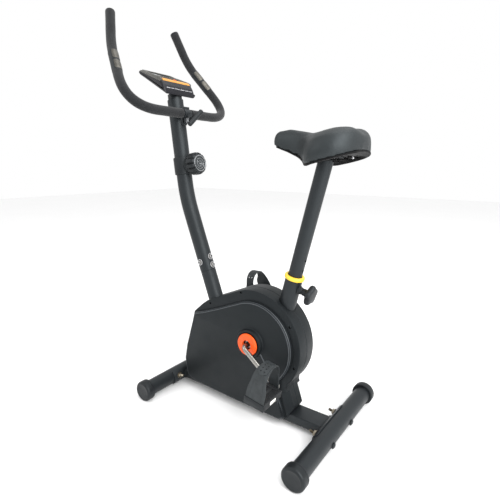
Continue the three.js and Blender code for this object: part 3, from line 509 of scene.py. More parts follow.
def end_cap(x, side, half):
    """A cup over the tube's end: flange, softly rounded rim and a shallow dished face."""
    profile = [(0, 22), (25.4, 22), (25.4, 0.6), (26, 0), (31.2, 0), (32.6, 0.7), (33, 2.2), (33, 4.6),
               (32.3, 5.2), (32.3, 6.4), (33, 7.0), (33, 20.2), (32.6, 22.4), (31.4, 24.6), (29.4, 26.2),
               (26.6, 26.9), (24.6, 27), (23.6, 26.6), (22.6, 26.4), (12, 26.1), (0, 26)]
    points, faces = turned(profile, at(x, side * (half - 27), STABILISER_Z), outward(side), 72)
    for p in points:
        p.z = max(p.z, 0.0)
    return points, faces


def carriage_bolt(start, direction):
    """Domed head, shank and thread."""
    profile = [(0, -5.2), (3, -5.0), (6, -4.0), (8.2, -2.2), (9, -0.9), (8.7, -0.2), (4, -0.2), (4, 52)]
    for k in range(26):
        profile += [(4.0, 52.2 + k * 0.76), (3.5, 52.58 + k * 0.76)]
    profile += [(3.6, 72), (3, 72.5), (0, 72.5)]
    return turned(profile, start, direction, 28)


def nut(start, direction, radius=8.2, thickness=7, washer=10.5):
    """A hexagon nut with chamfered corners on a washer."""
    flange = turned([(4.6, 0), (washer, 0), (washer, 1.4), (4.6, 1.4)], start, direction, 32, closed=True)
    body = turned([(4.6, 1.5), (radius - 1, 1.5), (radius, 2.3), (radius, thickness - 0.9),
                   (radius - 1.1, thickness), (4.6, thickness)], start, direction, 6, closed=True)
    return merged(flange, body)


def build_stabiliser(end, x, half, inward):
    def part(name, geometry, key, *nodes):
        piece(f"{end}_{name}", geometry, key, "frame", [f"{end}_{node}" for node in nodes])

    reach = half - 3.3
    tube = [(23.5, 0), (24.6, 0), (25, 0.4), (25, 2 * reach - 0.4), (24.6, 2 * reach), (23.5, 2 * reach)]
    tube = turned(tube, at(x, -reach, STABILISER_Z), LEFTWARD, 72, closed=True)
    part("stabiliser_tube", tube, "paint", "stabiliser")

    middle = 0 if inward > 0 else 180
    cradle = slab(arc_band(x, STABILISER_Z, 28.3, 25.3, middle - 60, middle + 60), -84, 84, 0.6, upright)
    corners = rounded(-32.5, 14.5, 32.5, 43.5, 5, 5)
    seam = []
    for y, z in corners + corners[:1]:
        reach_in = math.sqrt(max(0.0, 29.0 ** 2 - (z - STABILISER_Z) ** 2))
        seam.append(at(x + inward * (reach_in + 0.6), y, z))
    part("cradle_plate", merged(cradle, bead(seam, 2.4)), "paint", "cradle")

    line = heading(inward * math.cos(BOLT_TILT), 0, math.sin(BOLT_TILT))
    for name, side in SIDES:
        centre = at(x, side * 61, STABILISER_Z)
        start = centre - line * 0.0253
        dome = [(0, -5.7), (3, -5.5), (6.2, -4.5), (8.7, -2.5), (9.6, -1.0), (9.4, -0.2)]
        part(f"bolt_cap_{name}", turned(dome, start, line, 28), "black")
        part(f"carriage_bolt_{name}", carriage_bolt(start, line), "zinc", f"bolt_{name}")
        part(f"hex_nut_{name}", nut(centre + line * 0.0286, line), "zinc", f"nut_{name}")
        part(f"end_cap_{name}", end_cap(x, side, half), "black", f"cap_{name}")


def build_main_tube():
    """The rectangular spine, with rolled corners."""
    outline = rounded(-31.5, 15.5, 31.5, 42.5, 4, 6)
    rings = [[at(x, y, z) for y, z in outline] for x in (-555.4, -554.8, -29.8, -29.2)]
    piece("spine_tube", loft(rings), "paint", "frame", ["main_tube"])


# ---- Uprights ----

POST_JOINT, POST_CORNER, POST_TOP = at(-468, 0, 421), at(-556.2, 0, 658), at(-600.9, 0, 1002)
LOW_LINE = (POST_CORNER - POST_JOINT).normalized()
HIGH_LINE = (POST_TOP - POST_CORNER).normalized()
SEAT_TOP = at(-142.8, 0, 448)
SEAT_LINE = heading(math.sin(14.2 * DEG), 0, math.cos(14.2 * DEG))
SEAT_ACROSS = forward_of(SEAT_LINE)
SEAT_PIN = SEAT_TOP - SEAT_LINE * 0.025


def level_on(start, direction, z):
    """The point of a slanted line at a height in millimetres."""
    return start + direction * ((z / 1000 - start.z) / direction.z)


def button_bolt(centre, direction, seat):
    """A washer and a domed socket head on a tube's surface."""
    dome = ((4, 0.3), (9.6, 0.3), (9.8, 0.6), (9.6, 1.6), (7.6, 1.7), (7.7, 3), (7.0, 4.6), (5.4, 6.0),
            (3.4, 6.5), (0, 6.5))
    return turned([(0, 16), (4, 16)] + [(r, seat + d) for r, d in dome], centre, direction, 36)


def build_seat_tube():
    foot = level_on(SEAT_TOP, SEAT_LINE, 44)
    boss = turned([(0, 20), (10.6, 20), (10.6, 32.4), (9.8, 33.6), (6.2, 33.8), (6.2, 24), (0, 24)],
                  SEAT_PIN, SEAT_ACROSS, 32)
    ring = circle(SEAT_PIN + SEAT_ACROSS * 0.0245, SEAT_LINE, LEFTWARD, 11.2, around(24, 1))
    length = 1000 * (SEAT_TOP - foot).length
    tube = turned([(0, 0), (25, 0), (25, length - 0.5), (24.5, length), (23.2, length), (23.2, 24), (0, 24)],
                  foot, SEAT_LINE, 72)
    piece("seat_tube_shell", merged(tube, boss, bead(ring, 1.8)), "paint", "frame", ["seat_tube"])


def build_post_stub():
    foot = level_on(POST_JOINT, LOW_LINE, 44)
    shoulder = 1000 * (POST_JOINT - foot).length - 0.4
    neck = [(0, 0), (24.6, 0), (24.6, shoulder - 1), (24.0, shoulder), (22.4, shoulder),
            (22.4, shoulder + 74), (0, shoulder + 74)]
    piece("post_stub_tube", turned(neck, foot, LOW_LINE, 72), "paint", "frame", ["post_stub"])


def build_post():
    route = bent([POST_JOINT, POST_CORNER, POST_TOP], [470], 40)
    stations = [(0, 0), (0, 24.3), (0.5, 25)] + even(4, route.length - 44, 14, 25) + [(route.length - 40, 25)]
    stations = [s for s in stations if route.point(s[0]).z < 0.988]
    lug = filleted([(-577, 905.8), (-566, 884.5), (-555.2, 884.5), (-555.2, 905.8)], 2)
    lug = slab(lug, -10, 10, 1, upright)
    tube = swept(route, stations + [(stations[-1][0], 0)], 72)
    piece("front_post", merged(tube, lug, clamp_ring(-1)), "paint", "frame", ["handlebar_post"])

    across_joint = forward_of(LOW_LINE)
    for name, z, direction in (("upper", 460, across_joint), ("lower", 434, across_joint),
                               ("left", 451, outward(-1))):
        centre = level_on(POST_JOINT, LOW_LINE, z)
        bolt = raw(f"joint_bolt_{name}", button_bolt(centre, direction, 25))
        socket = turned([(0, 0), (3, 0), (3, 5), (0, 5)], centre + direction * 0.0285, direction, 6)
        carved(bolt, [raw("socket", socket)])
        dress(bolt, "bezel", "frame", [f"post_bolt_{name}"])
        rim = [(8.4, 26.7), (9.9, 26.6), (9.8, 27.2), (8.6, 27.4)]
        rim = turned(rim, centre, direction, 36, closed=True)
        collar = [(3.6, 31.2), (5.2, 31.2), (5, 31.9), (3.7, 31.9)]
        collar = turned(collar, centre, direction, 24, closed=True)
        piece(f"joint_bolt_trim_{name}", merged(rim, collar), "trim", "frame")


# ---- Clamp ----

BAR_Z, BAR_X = 918.3, -549.9
SCREW_LINE = heading(1, 0, 0.2)
SCREW = at(BAR_X, 0, BAR_Z - 22.5)


def clamp_ring(side):
    """Half of the shell round the bar, on the post's side (-1) or the rider's side (1)."""
    start = 94 if side < 0 else -86
    return slab(arc_band(BAR_X, BAR_Z, 14.4, 11.4, start, start + 172), -15, 15, 0.6, upright)


def build_clamp():
    ear = slab(rounded(BAR_X + 0.8, BAR_Z - 30, BAR_X + 5, BAR_Z - 11.6, 1), -11, 11, 0.8, upright)
    crest = slab(rounded(BAR_X + 0.8, BAR_Z + 11.6, BAR_X + 5, BAR_Z + 20.5, 1), -11, 11, 0.8, upright)
    piece("clamp_shell", merged(clamp_ring(1), ear, crest), "paint", "frame", ["clamp_cap"])

    centre = SCREW + SCREW_LINE * 0.042
    lean = heading(0, 0.78, 0.626)
    side = lean.cross(SCREW_LINE).normalized()
    bar = Route([centre - lean * 0.0365, centre + lean * 0.0365])
    ends = [(0, 0), (0.1, 4.6), (0.8, 6.2), (2.2, 7.3), (4, 7.6)]
    stations = ends + even(8, 65, 5, 7.6) + [(73 - d, r) for d, r in reversed(ends)]
    grip = swept(bar, stations, 60, lambda a: 1 - 0.07 * max(0.0, math.cos(6 * a)) ** 4)
    hub = turned([(0, 20), (6.5, 20), (7.4, 21), (7.6, 27), (6.6, 31), (6.2, 40), (0, 42)],
                 SCREW, SCREW_LINE, 36)
    ridge = slab(rounded(-30, -1.2, 30, 1.2, 1), 7.2, 8.3, 0.3,
                 lambda a, b, c: centre + lean * (a / 1000) + side * (b / 1000) + SCREW_LINE * (c / 1000))
    piece("clamp_t_knob", merged(grip, hub, ridge), "black", "clamp_screw", ["clamp_knob"])

    washer = turned([(4.3, 7.4), (9.4, 7.4), (9.6, 7.8), (9.4, 9), (4.3, 9)],
                    SCREW, SCREW_LINE, 36, closed=True)
    u, v = across(SCREW_LINE)
    coil = []
    for k, a in enumerate(around(21, 84)):
        coil += circle(SCREW + SCREW_LINE * (0.0103 + 0.0085 * k / 104), u, v, 6.2, [a])
    coil = Route(coil)
    spring = swept(coil, even(0, coil.length, 3, 0.8), 8)
    screw = rod(3.9, SCREW - SCREW_LINE * 0.016, SCREW + SCREW_LINE * 0.021, 0.5, 24)
    piece("clamp_screw_metal", merged(washer, spring, screw), "steel", "clamp_screw")


# ---- Handlebar ----

BAR_RISE = [at(BAR_X, 228.5, BAR_Z), at(-691, 159.5, 1106), at(-726.8, 128.8, 1213.9)]
GRIP_START = 18
SENSOR_FROM, SENSOR_TO = 298, 380


def build_handlebar():
    near = [Vector((p.x, -p.y, p.z)) for p in reversed(BAR_RISE)]
    bar = bent(near + BAR_RISE, [260, 88, 88, 260], 30)
    half = bar.length / 2
    piece("bar_tube", swept(bar, even(10, bar.length - 10, 9, 11), 40), "paint", "handlebar", ["handlebar"])
    for name, side in SIDES:
        def run(distance):
            return half + side * distance
        grip = [(GRIP_START, 0), (GRIP_START, 13.4), (GRIP_START + 0.8, 14.1)]
        for k in range(71):
            distance = GRIP_START + 2.5 + (half - GRIP_START - 8) * k / 70
            grip.append((distance, 14.3 + 0.1 * math.sin(distance / 9.0)))
        grip += [(half - 4, 14.1), (half - 2, 13.2), (half - 0.7, 11.2), (half, 8), (half, 0)]
        foam = swept(bar, [(run(d), r) for d, r in grip], 48)
        piece(f"foam_grip_{name}", foam, "foam", "handlebar", [f"grip_{name}"])
        build_sensor(name, bar, run)


def build_sensor(name, bar, run):
    """A black carrier flush in the foam, with two contact plates on the rider's side, parted by a slot."""
    edges = [(SENSOR_FROM, 0), (SENSOR_FROM, 14.2), (SENSOR_FROM + 0.8, 14.7), (SENSOR_FROM + 2, 14.8)]
    body = edges + [(d, 14.8) for d in range(SENSOR_FROM + 6, SENSOR_TO - 4, 4)]
    body += [(SENSOR_FROM + SENSOR_TO - d, r) for d, r in reversed(edges)]
    carrier = swept(bar, [(run(d), r) for d, r in body], 48)
    piece(f"sensor_carrier_{name}", carrier, "black", "handlebar", [f"pulse_sensor_{name}"])
    lower, upper = sensor_plate(bar, run, SENSOR_FROM + 2, 335), sensor_plate(bar, run, 342, SENSOR_TO - 2)
    piece(f"sensor_plates_{name}", merged(lower, upper), "satin", "handlebar")


def sensor_plate(bar, run, low, high):
    """A curved contact plate on the side of the bar that faces the rider."""
    rings = []
    steps = 12
    toward = Vector((1, 0, 0.2))
    for i in range(steps + 1):
        distance = run(low + (high - low) * i / steps)
        tangent = bar.tangent(distance)
        out = (toward - tangent * toward.dot(tangent)).normalized()
        lift, half = ((14.95, 48), (15.25, 55), (15.35, 57))[min(i, steps - i, 2)]
        arc = [(-half + 2 * half * k / 20) * DEG for k in range(21)]
        middle, up = bar.point(distance), tangent.cross(out)
        rings.append(circle(middle, out, up, lift, arc) + circle(middle, out, up, 14.2, arc[::-1]))
    return loft(rings)


# ---- Tension control ----

TENSION = level_on(POST_CORNER, HIGH_LINE, 757)
TENSION_LINE = forward_of(HIGH_LINE)


def build_tension():
    def about_dial(profile, segments, closed=False):
        return turned(profile, TENSION, TENSION_LINE, segments, closed)

    sleeve = [(25.4, 0.6), (26.2, 0), (28.2, 0), (29.2, 1), (29.4, 3), (29.4, 51), (29.2, 53), (28.2, 54),
              (26.2, 54), (25.4, 53.4)]
    sleeve = turned(sleeve, TENSION - HIGH_LINE * 0.027, HIGH_LINE, 72, closed=True)
    boss = about_dial([(0, 24), (21, 24), (21, 39.5), (20.2, 41.4), (18.6, 42.2), (0, 42.2)], 56)
    collar = about_dial([(21, 27), (24.4, 27.4), (24.6, 29), (21.6, 34), (21, 34)], 56, closed=True)
    piece("tension_sleeve", merged(sleeve, boss, collar), "black", "frame", ["tension_housing"])

    u, v = across(TENSION_LINE)
    rings = []
    for distance, radius, depth in (
            (43.6, 26, 0), (44.2, 30, 0.3), (45.4, 33, 0.8), (47.4, 34.8, 1), (50, 35, 1), (58, 35, 1),
            (65, 34.9, 1), (69, 34, 1), (72, 32.2, 0.9), (74.4, 29.6, 0.5), (76, 27.2, 0.1), (76.5, 26, 0),
            (76.2, 25.4, 0), (74.9, 25.2, 0)):
        def fluted(a):
            return radius * (1 - 0.15 * depth * max(0.0, math.cos(12 * a)) ** 2)
        rings.append(circle(TENSION + TENSION_LINE * (distance / 1000), u, v, fluted, around(144)))
    stem = about_dial([(0, 29), (4.6, 29), (4.6, 46), (0, 46)], 24)
    piece("tension_dial", merged(loft(rings), stem), "black", "tension_knob", ["tension_knob"])
    face = about_dial([(0, 74), (25, 74), (25, 75.0), (22, 75.3), (0, 75.3)], 72)
    piece("tension_dial_face", face, "rubber", "tension_knob")

    rim = [(22.6, 75.0), (25.2, 75.0), (25.1, 76.4), (24.2, 76.8), (22.9, 76.2)]
    marks = [about_dial(rim, 72, closed=True)]
    count = 40
    for radius, width, first, last in ((17.6, 0.8, 20, 330), (12.4, 0.7, -60, 200), (7.6, 0.9, 60, 350),
                                       (3.0, 0.9, -20, 200)):
        curl = []
        for k in range(count + 1):
            angle = (first + (last - first) * k / count) * DEG
            curl += circle(TENSION + TENSION_LINE * 0.0753, u, v, radius * (1 - 0.16 * k / count), [angle])
        arc = Route(curl)
        stations = [(arc.length * k / count, width * min(1, 0.2 + k / 6, 0.2 + (count - k) / 6))
                    for k in range(count + 1)]
        marks.append(swept(arc, stations, 10))
    piece("tension_dial_trim", merged(*marks), "steel", "tension_knob")


# ---- Casing ----

CRANK_X, CRANK_Z = -257.0, 241.0
CRANK_CENTRE = at(CRANK_X, 0, CRANK_Z)
RIM_HALF, PANEL_HALF, WALL = 40.0, 51.6, 3.0
CASING_SCREWS = ((-130.7, 317.1), (-302, 386), (-114, 196), (-425, 326))


def casing_outline():
    points = [(-150, 20), (-141, 22), (-117, 62), (-138, 124)] + arc_points(-253.1, 242.7, 158, -42, 113, 70)
    points += [(-440, 332.5), (-461, 317), (-498, 284), (-532, 162), (-543, 108), (-540, 84), (-531, 46),
               (-517, 36), (-490, 28), (-320, 22)]
    return filleted(points, [4, 4, 6, 6] + [0] * 71 + [16, 14, 10, 30, 40, 20, 8, 8, 30, 40], 5)


def panel_outline():
    points = [(-152, 22.5), (-136, 34), (-160, 96)] + arc_points(-250, 239, 129.5, -44, 112, 66)
    points += [(-393, 319), (-443, 299), (-490, 283), (-528, 162), (-539, 108), (-536, 84), (-527, 48),
               (-513, 39), (-486, 31), (-320, 25)]
    return filleted(points, [4, 8, 8] + [0] * 67 + [30, 20, 12, 30, 40, 20, 8, 8, 30, 40], 5)


def spokes(outline, angles):
    """How far an outline is from the crank's axis in each direction."""
    centred = [(x - CRANK_X, z - CRANK_Z) for x, z in outline]
    edges = [(x, z, x1 - x, z1 - z) for (x, z), (x1, z1) in zip(centred, centred[1:] + centred[:1])]
    reach = []
    for a in angles:
        dx, dz = math.cos(a), math.sin(a)
        best = 0.0
        for x, z, ex, ez in edges:
            cross = dx * ez - dz * ex
            if abs(cross) < 1e-9:
                continue
            t = (x * ez - z * ex) / cross
            s = (x * dz - z * dx) / cross
            if t > 0 and -1e-9 <= s <= 1 + 1e-9:
                best = max(best, t)
        reach.append(best)
    return reach


def casing_angles(*outlines):
    """Directions from the crank's axis to every corner of the outlines, and every two degrees."""
    angles = {round(math.atan2(z - CRANK_Z, x - CRANK_X), 4) for outline in outlines for x, z in outline}
    angles |= {round(k * 2 * DEG, 4) for k in range(-90, 90)}
    kept = []
    for a in sorted(angles):
        if not kept or a - kept[-1] > 0.006:
            kept.append(a)
    return kept


def casing_rings(angles, side, rows):
    """Rings about the crank's axis, from rows of (outline or radius, inset, distance from the middle)."""
    rings = []
    for shape, shift, y in rows:
        reach = spokes(inset(shape, shift), angles) if isinstance(shape, list) else [shape] * len(angles)
        rings.append([at(CRANK_X + r * math.cos(a), side * y, CRANK_Z + r * math.sin(a))
                      for r, a in zip(reach, angles)])
    return rings


def tail_cutter(side, grow):
    """The slanted corner that narrows the tail."""
    points = [(-30 - 1.6 * grow, 54), (20, 54), (20, 14 - 1.6 * grow)]
    lean = Matrix.Rotation(-18.5 * DEG, 3, "Y")
    return raw("tail", loft([
        [at(-126.5, 0, 67) + lean @ Vector((x / 1000, side * y / 1000, z / 1000)) for x, y in points]
        for z in (-49, 49)]))


def build_casing_half(name, side):
    outer, panel = casing_outline(), panel_outline()
    angles = casing_angles(outer, panel)
    rim, face = RIM_HALF, PANEL_HALF
    shell = raw(f"casing_shell_{name}", loft(casing_rings(angles, side, [
        (outer, 1.2, 0.3), (outer, 0.9, 0.8), (outer, 0, 1.5), (outer, 0, rim - 3), (outer, 0.8, rim - 0.9),
        (outer, 2.6, rim), (panel, -3.0, rim), (panel, -2.6, rim - 0.3), (panel, -1.0, rim - 0.3),
        (panel, -0.6, rim), (panel, 0, rim + 5), (panel, 0.6, face - 4.6), (panel, 2.2, face - 2),
        (panel, 4.4, face - 0.5), (panel, 6.6, face), (49, 0, face), (46.5, 0, face + 0.5),
        (44.6, 0, face + 2.6), (43.6, 0, 62.5), (42.8, 0, 64.6), (41.2, 0, 65.6), (37.4, 0, 65.8),
        (36.8, 0, 65.2), (36.6, 0, 61), (15, 0, 61), (15, 0, 40)])))
    hollow = raw("hollow", loft(casing_rings(angles, side, [
        (outer, WALL, -1), (outer, WALL, rim - WALL), (panel, WALL, rim - WALL + 0.2),
        (panel, WALL, face - WALL), (40, 0, face - WALL), (39.6, 0, 57.5)])))
    carved(shell, [tail_cutter(side, 0)])
    carved(hollow, [tail_cutter(side, WALL)])
    spine = raw("spine", slab(rectangle(-640, -4, -40, 43.2), -31.9, 31.9, 0.01, upright))
    holes = [hollow, spine, drill(26.2, level_on(SEAT_TOP, SEAT_LINE, 200), SEAT_TOP, 64),
             drill(25.7, level_on(POST_JOINT, LOW_LINE, 100), POST_JOINT, 64)]
    holes += [drill(3.6, at(x, side * 20, z), at(x, side * 60, z), 20) for x, z in CASING_SCREWS]
    for x, top in ((-479, 33), (-303, 29.5), (-211, 29.5)):
        notch = slab(rectangle(x - 5, 10, x + 5, top), 44, 60, 0.01, lambda a, b, c: at(a, side * c, b))
        holes.append(raw("notch", notch))
    carved(shell, holes)
    dress(shell, "shell", "frame", [f"casing_{name}"], 30)

    # A thin strip along the panel's raised edge, in the lighter material: a painted highlight on the bevel.
    strip = raw(f"casing_painted_highlight_{name}", loft(casing_rings(angles, side, [
        (panel, 1.6, face - 5.6), (panel, 0.5, face - 5.0), (panel, 0.7, face - 4.0),
        (panel, 4.4, face - 0.2), (panel, 5.4, face + 0.15), (panel, 6.4, face - 0.6)]), closed=True))
    carved(strip, [tail_cutter(side, 0)])
    dress(strip, "edge", "frame")

    head = [(0, 0), (3.3, 0), (3.3, 1), (2.4, 1.9), (1, 2), (0.6, 1.2), (0, 1.2)]
    screws = [turned(head, at(x, side * 33, z), outward(side), 20) for x, z in CASING_SCREWS]
    piece(f"casing_screws_{name}", merged(*screws), "steel", "frame")

    # A low rib from the crank boss down the panel. Its lighter material is a painted highlight along the
    # ridge.
    route = Route([at(x, side * face, z) for x, z in (
        (-246, 272), (-231.4, 239.2), (-220.3, 213), (-207.2, 192.7), (-196, 166), (-191, 130), (-189, 60))])
    stations = [(18 + (route.length - 18) * k / 30, 2.2 * min(1, 0.3 + k / 6, 0.2 + (30 - k) / 8))
                for k in range(31)]
    piece(f"casing_rib_{name}", swept(route, stations, 16), "edge", "frame")

    cover = turned([(14.4, 66.4), (33, 66.4), (34, 67), (34, 69.4), (33.2, 71.2), (31, 72.4), (27, 72.9),
                    (18.4, 72.2), (16.2, 72.9), (14.8, 72.7), (14.2, 71.6)],
                   CRANK_CENTRE, outward(side), 96, closed=True)
    piece(f"crank_ring_{name}", cover, "orange", "frame", [f"crank_cover_{name}"])


# ---- Crank and pedals ----

CRANK_LENGTH, CRANK_ANGLE = 142, -34.5 * DEG


def eye(side, y):
    dx, dz = CRANK_LENGTH * math.cos(CRANK_ANGLE), CRANK_LENGTH * math.sin(CRANK_ANGLE)
    return at(CRANK_X - side * dx, side * y, CRANK_Z - side * dz)


def build_crank():
    """A one-piece forging: hub, two tapered arms and flat eyes."""
    route = bent([eye(-1, 97), at(CRANK_X, -89, CRANK_Z), at(CRANK_X, 89, CRANK_Z), eye(1, 97)], [16, 16], 16)
    stations = []
    for k in range(151):
        distance = route.length * k / 150
        stations.append((distance, 6.6 + 0.8 * min(distance, route.length - distance, 60) / 60))
    forging = raw("crank_forging", swept(route, stations, 32))
    carved(forging, [drill(6.45, eye(side, 80), eye(side, 120)) for _, side in SIDES])
    dress(forging, "bright", "crank", ["crank"])
    lug = [(6.4, -8), (10.2, -8), (11.2, -7), (11.4, -5), (11.4, 5), (11.2, 7), (10.2, 8), (6.4, 8)]
    eyes = [turned(lug, eye(side, 97), outward(side), 40, closed=True) for _, side in SIDES]
    piece("crank_eyes", merged(*eyes), "bright", "crank")
    for name, side in SIDES:
        axle = turned([(0, 88), (4.6, 88), (6, 88.6), (6, 105.2), (8, 105.4), (8, 109), (6, 109.2), (6, 183),
                       (0, 183.6)], eye(side, 0), outward(side), 28)
        piece(f"pedal_axle_{name}", axle, "steel", "crank", [f"pedal_spindle_{name}"])
    lock = [(7.9, 58), (12.4, 58), (13, 58.6), (13, 61.6), (12.2, 62.4), (7.9, 62.4)]
    locks = [turned(lock, CRANK_CENTRE, outward(side), 32, closed=True) for _, side in SIDES]
    piece("crank_locknuts", merged(*locks), "steel", "crank")


PEDAL_PITCH = {-1: 9 * DEG, 1: -2 * DEG}
PEDAL_Y = 153


def pedal_basis(side):
    """Maps the pedal's own (length, width, height) in millimetres to the bike."""
    turn = Matrix.Rotation(PEDAL_PITCH[side], 3, "Y")
    centre = eye(side, PEDAL_Y)
    return lambda a, b, c: centre + turn @ Vector((a / 1000, side * b / 1000, c / 1000))


def build_pedal(name, side):
    place = pedal_basis(side)

    def bar(x0, y0, x1, y1, half, edge=1.2, radius=3):
        return slab(rounded(x0, y0, x1, y1, radius), -half, half, edge, place)

    parts = [bar(-31, -42, -19, 42, 10.5), bar(19, -42, 31, 42, 10.5), bar(-21, 31, 21, 42, 10.5),
             bar(-21, -42, 21, -31, 10.5)]
    parts.append(slab([(10.6 * math.cos(a), 10.6 * math.sin(a)) for a in around(40)], -41.6, 41.6, 1.2,
                      lambda a, b, c: place(a, c, b)))
    parts += [bar(x0, -31, x0 + 9.5, 31, 9.4, 0.8, 1.5) for x0 in (-18.5, 9)]
    for face in (-1, 1):
        def tread(x, y, half_x, half_y, radius, low, high, edge):
            outline = rounded(x - half_x, y - half_y, x + half_x, y + half_y, radius, 2)
            return slab(outline, low, high, edge, lambda a, b, c: place(a, b, c * face))
        for row, x in enumerate((-27, -22.5, 22.5, 27)):
            start = -34 + 2 * (row % 2)
            parts += [tread(x, start + 8.5 * k, 1.5, 2.6, 0.8, 10.0, 11.6, 0.4) for k in range(9)]
        for x in (-14, 14):
            parts += [tread(x, -28 + 6.2 * k, 4, 0.9, 0.5, 9.2, 10.4, 0.3) for k in range(10)]
    piece(f"pedal_body_{name}", merged(*parts), "pedal", f"pedal_{name}", [f"pedal_{name}"])
    lenses = [slab(rounded(-13, -5.2, 13, 5.2, 1.5, 3), 30.6, 32.2, 0.5,
                   lambda a, b, c, end=end: place(end * c, a + 2, b)) for end in (-1, 1)]
    piece(f"pedal_reflectors_{name}", merged(*lenses), "reflector", f"pedal_{name}")
    build_strap(name, side, place)


STRAP_RISE = {-1: 95.0, 1: 76.0}
STRAP_LEAN = {-1: 0.0, 1: -0.11}
STRAP_SLIMNESS = {-1: 1, 1: 0.76}
STRAP_RADIUS, STRAP_HALF = 37.5, 43.8


def strap_line(rise, lift):
    """97 even (width, height) points of a strap, from the outer foot, over the top, to the inner foot."""
    foot, reach, count = STRAP_HALF + lift, STRAP_RADIUS + lift, 96
    points = [(foot, 6.0), (foot, 10.0), (foot, 16.0)]
    points += arc_points(0, rise - 39, reach, 0, 180, 24)
    points += [(-foot, 13.0), (-foot, 0.0), (-foot, -9.0)]
    marks = [0.0]
    for a, b in zip(points, points[1:]):
        marks.append(marks[-1] + math.dist(a, b))
    made = []
    for k in range(count + 1):
        d = marks[-1] * k / count
        i = max(1, next((j for j, m in enumerate(marks) if m >= d), len(marks) - 1))
        s = (d - marks[i - 1]) / ((marks[i] - marks[i - 1]) or 1)
        (y0, z0), (y1, z1) = points[i - 1], points[i]
        made.append((y0 + (y1 - y0) * s, z0 + (z1 - z0) * s))
    return made


def line_normal(line, i):
    """The unit direction square to a line of (width, height) points at one of them."""
    (y0, z0), (y1, z1) = line[max(i - 1, 0)], line[min(i + 1, len(line) - 1)]
    size = math.hypot(y1 - y0, z1 - z0) or 1
    return (z1 - z0) / size, -(y1 - y0) / size


def eased(table, t):
    """The value at t between the rows of a table, with soft changes."""
    for (t0, v0), (t1, v1) in zip(table, table[1:]):
        if t <= t1:
            s = (t - t0) / ((t1 - t0) or 1)
            return v0 + (v1 - v0) * s * s * (3 - 2 * s)
    return table[-1][1]


def ribbon(line, widths, thickness, place):
    """A band along a line of (width, height) points, with half widths along the pedal's length."""
    rings = []
    t = thickness / 2
    for i, (y, z) in enumerate(line):
        ny, nz = line_normal(line, i)
        w = eased(widths, i / (len(line) - 1))
        flat = w - 0.6
        section = ((-w, 0), (-flat, -t), (0, -t), (flat, -t), (w, 0), (flat, t), (0, t), (-flat, t))
        rings.append([place(x, y + ny * out, z + nz * out) for x, out in section])
    return loft(rings)


def build_strap(name, side, upright_place):
    """A moulded two-part strap: a broad outer leg and a perforated band over the top that lies on it."""
    slim = STRAP_SLIMNESS[side]

    def place(a, b, c):
        return upright_place(a + STRAP_LEAN[side] * max(c, 0), b, c)

    full = strap_line(STRAP_RISE[side], 0.0)
    leg_widths = [(0, 29), (0.15, 29), (0.5, 21.5 * slim), (0.85, 17 * slim), (1, 9)]
    outer_leg = ribbon(full[:58], leg_widths, 2.4, place)
    inner = strap_line(STRAP_RISE[side], 2.3)[30:]
    band_widths = [(0, 5), (0.05, 14), (0.3, 15.5), (0.6, 14.5), (0.85, 17), (1, 18)]
    top_band = raw(f"strap_band_{name}", ribbon(inner, band_widths, 2.2, place))
    holes = []
    for i in range(4, 34, 4):
        (y, z), (ny, nz) = inner[i], line_normal(inner, i)
        for x in (-5.5, 5.5):
            start, end = place(x, y - ny * 1.7, z - nz * 1.7), place(x, y + ny * 3, z + nz * 3)
            holes.append(drill(2.0, start, end, 10))
    carved(top_band, [as_one(holes)])
    dress(top_band, "rubber", f"pedal_{name}", [f"pedal_strap_{name}"])
    ribs = []
    for x in (-12, 12):
        ridge = Route([place(x * (1.6 - 0.6 * i / 26), y + 1.3, z) for i, (y, z) in enumerate(full[4:30])])
        ribs.append(swept(ridge, [(d, 0.8) for d in range(0, 70, 5)], 8))
    piece(f"strap_leg_{name}", merged(outer_leg, *ribs), "rubber", f"pedal_{name}")
    anchors = [slab(rounded(-half, y - 3.4, half, y + 3.4, 2.5, 3), -10.4, top, 0.8, place)
               for y, half, top in ((STRAP_HALF - 0.2, 31, 9.0), (0.2 - STRAP_HALF, 22, -3))]
    piece(f"strap_anchors_{name}", merged(*anchors), "black", f"pedal_{name}")


# ---- Console ----

LIP_EDGE = [(-585.3, 1013.2), (-577.5, 1001), (-573, 989), (-570.5, 977)]
CONSOLE_REAR, CONSOLE_FRONT = at(-585.3, 0, 1013.2), at(-681.5, 0, 1054.6)
CONSOLE_ALONG = (CONSOLE_FRONT - CONSOLE_REAR).normalized()
CONSOLE_UP = forward_of(CONSOLE_ALONG)
BUTTON_AT = 12.5


def on_console(a, b, c):
    """Distance from the rider's edge, sideways, and height above the top face."""
    return CONSOLE_REAR + CONSOLE_ALONG * (a / 1000) + Vector((0, b / 1000, 0)) + CONSOLE_UP * (c / 1000)


def console_side(x, z):
    """A point of the side profile, as distance along the top face and height above it."""
    step = at(x, 0, z) - CONSOLE_REAR
    return step.dot(CONSOLE_ALONG) * 1000, step.dot(CONSOLE_UP) * 1000


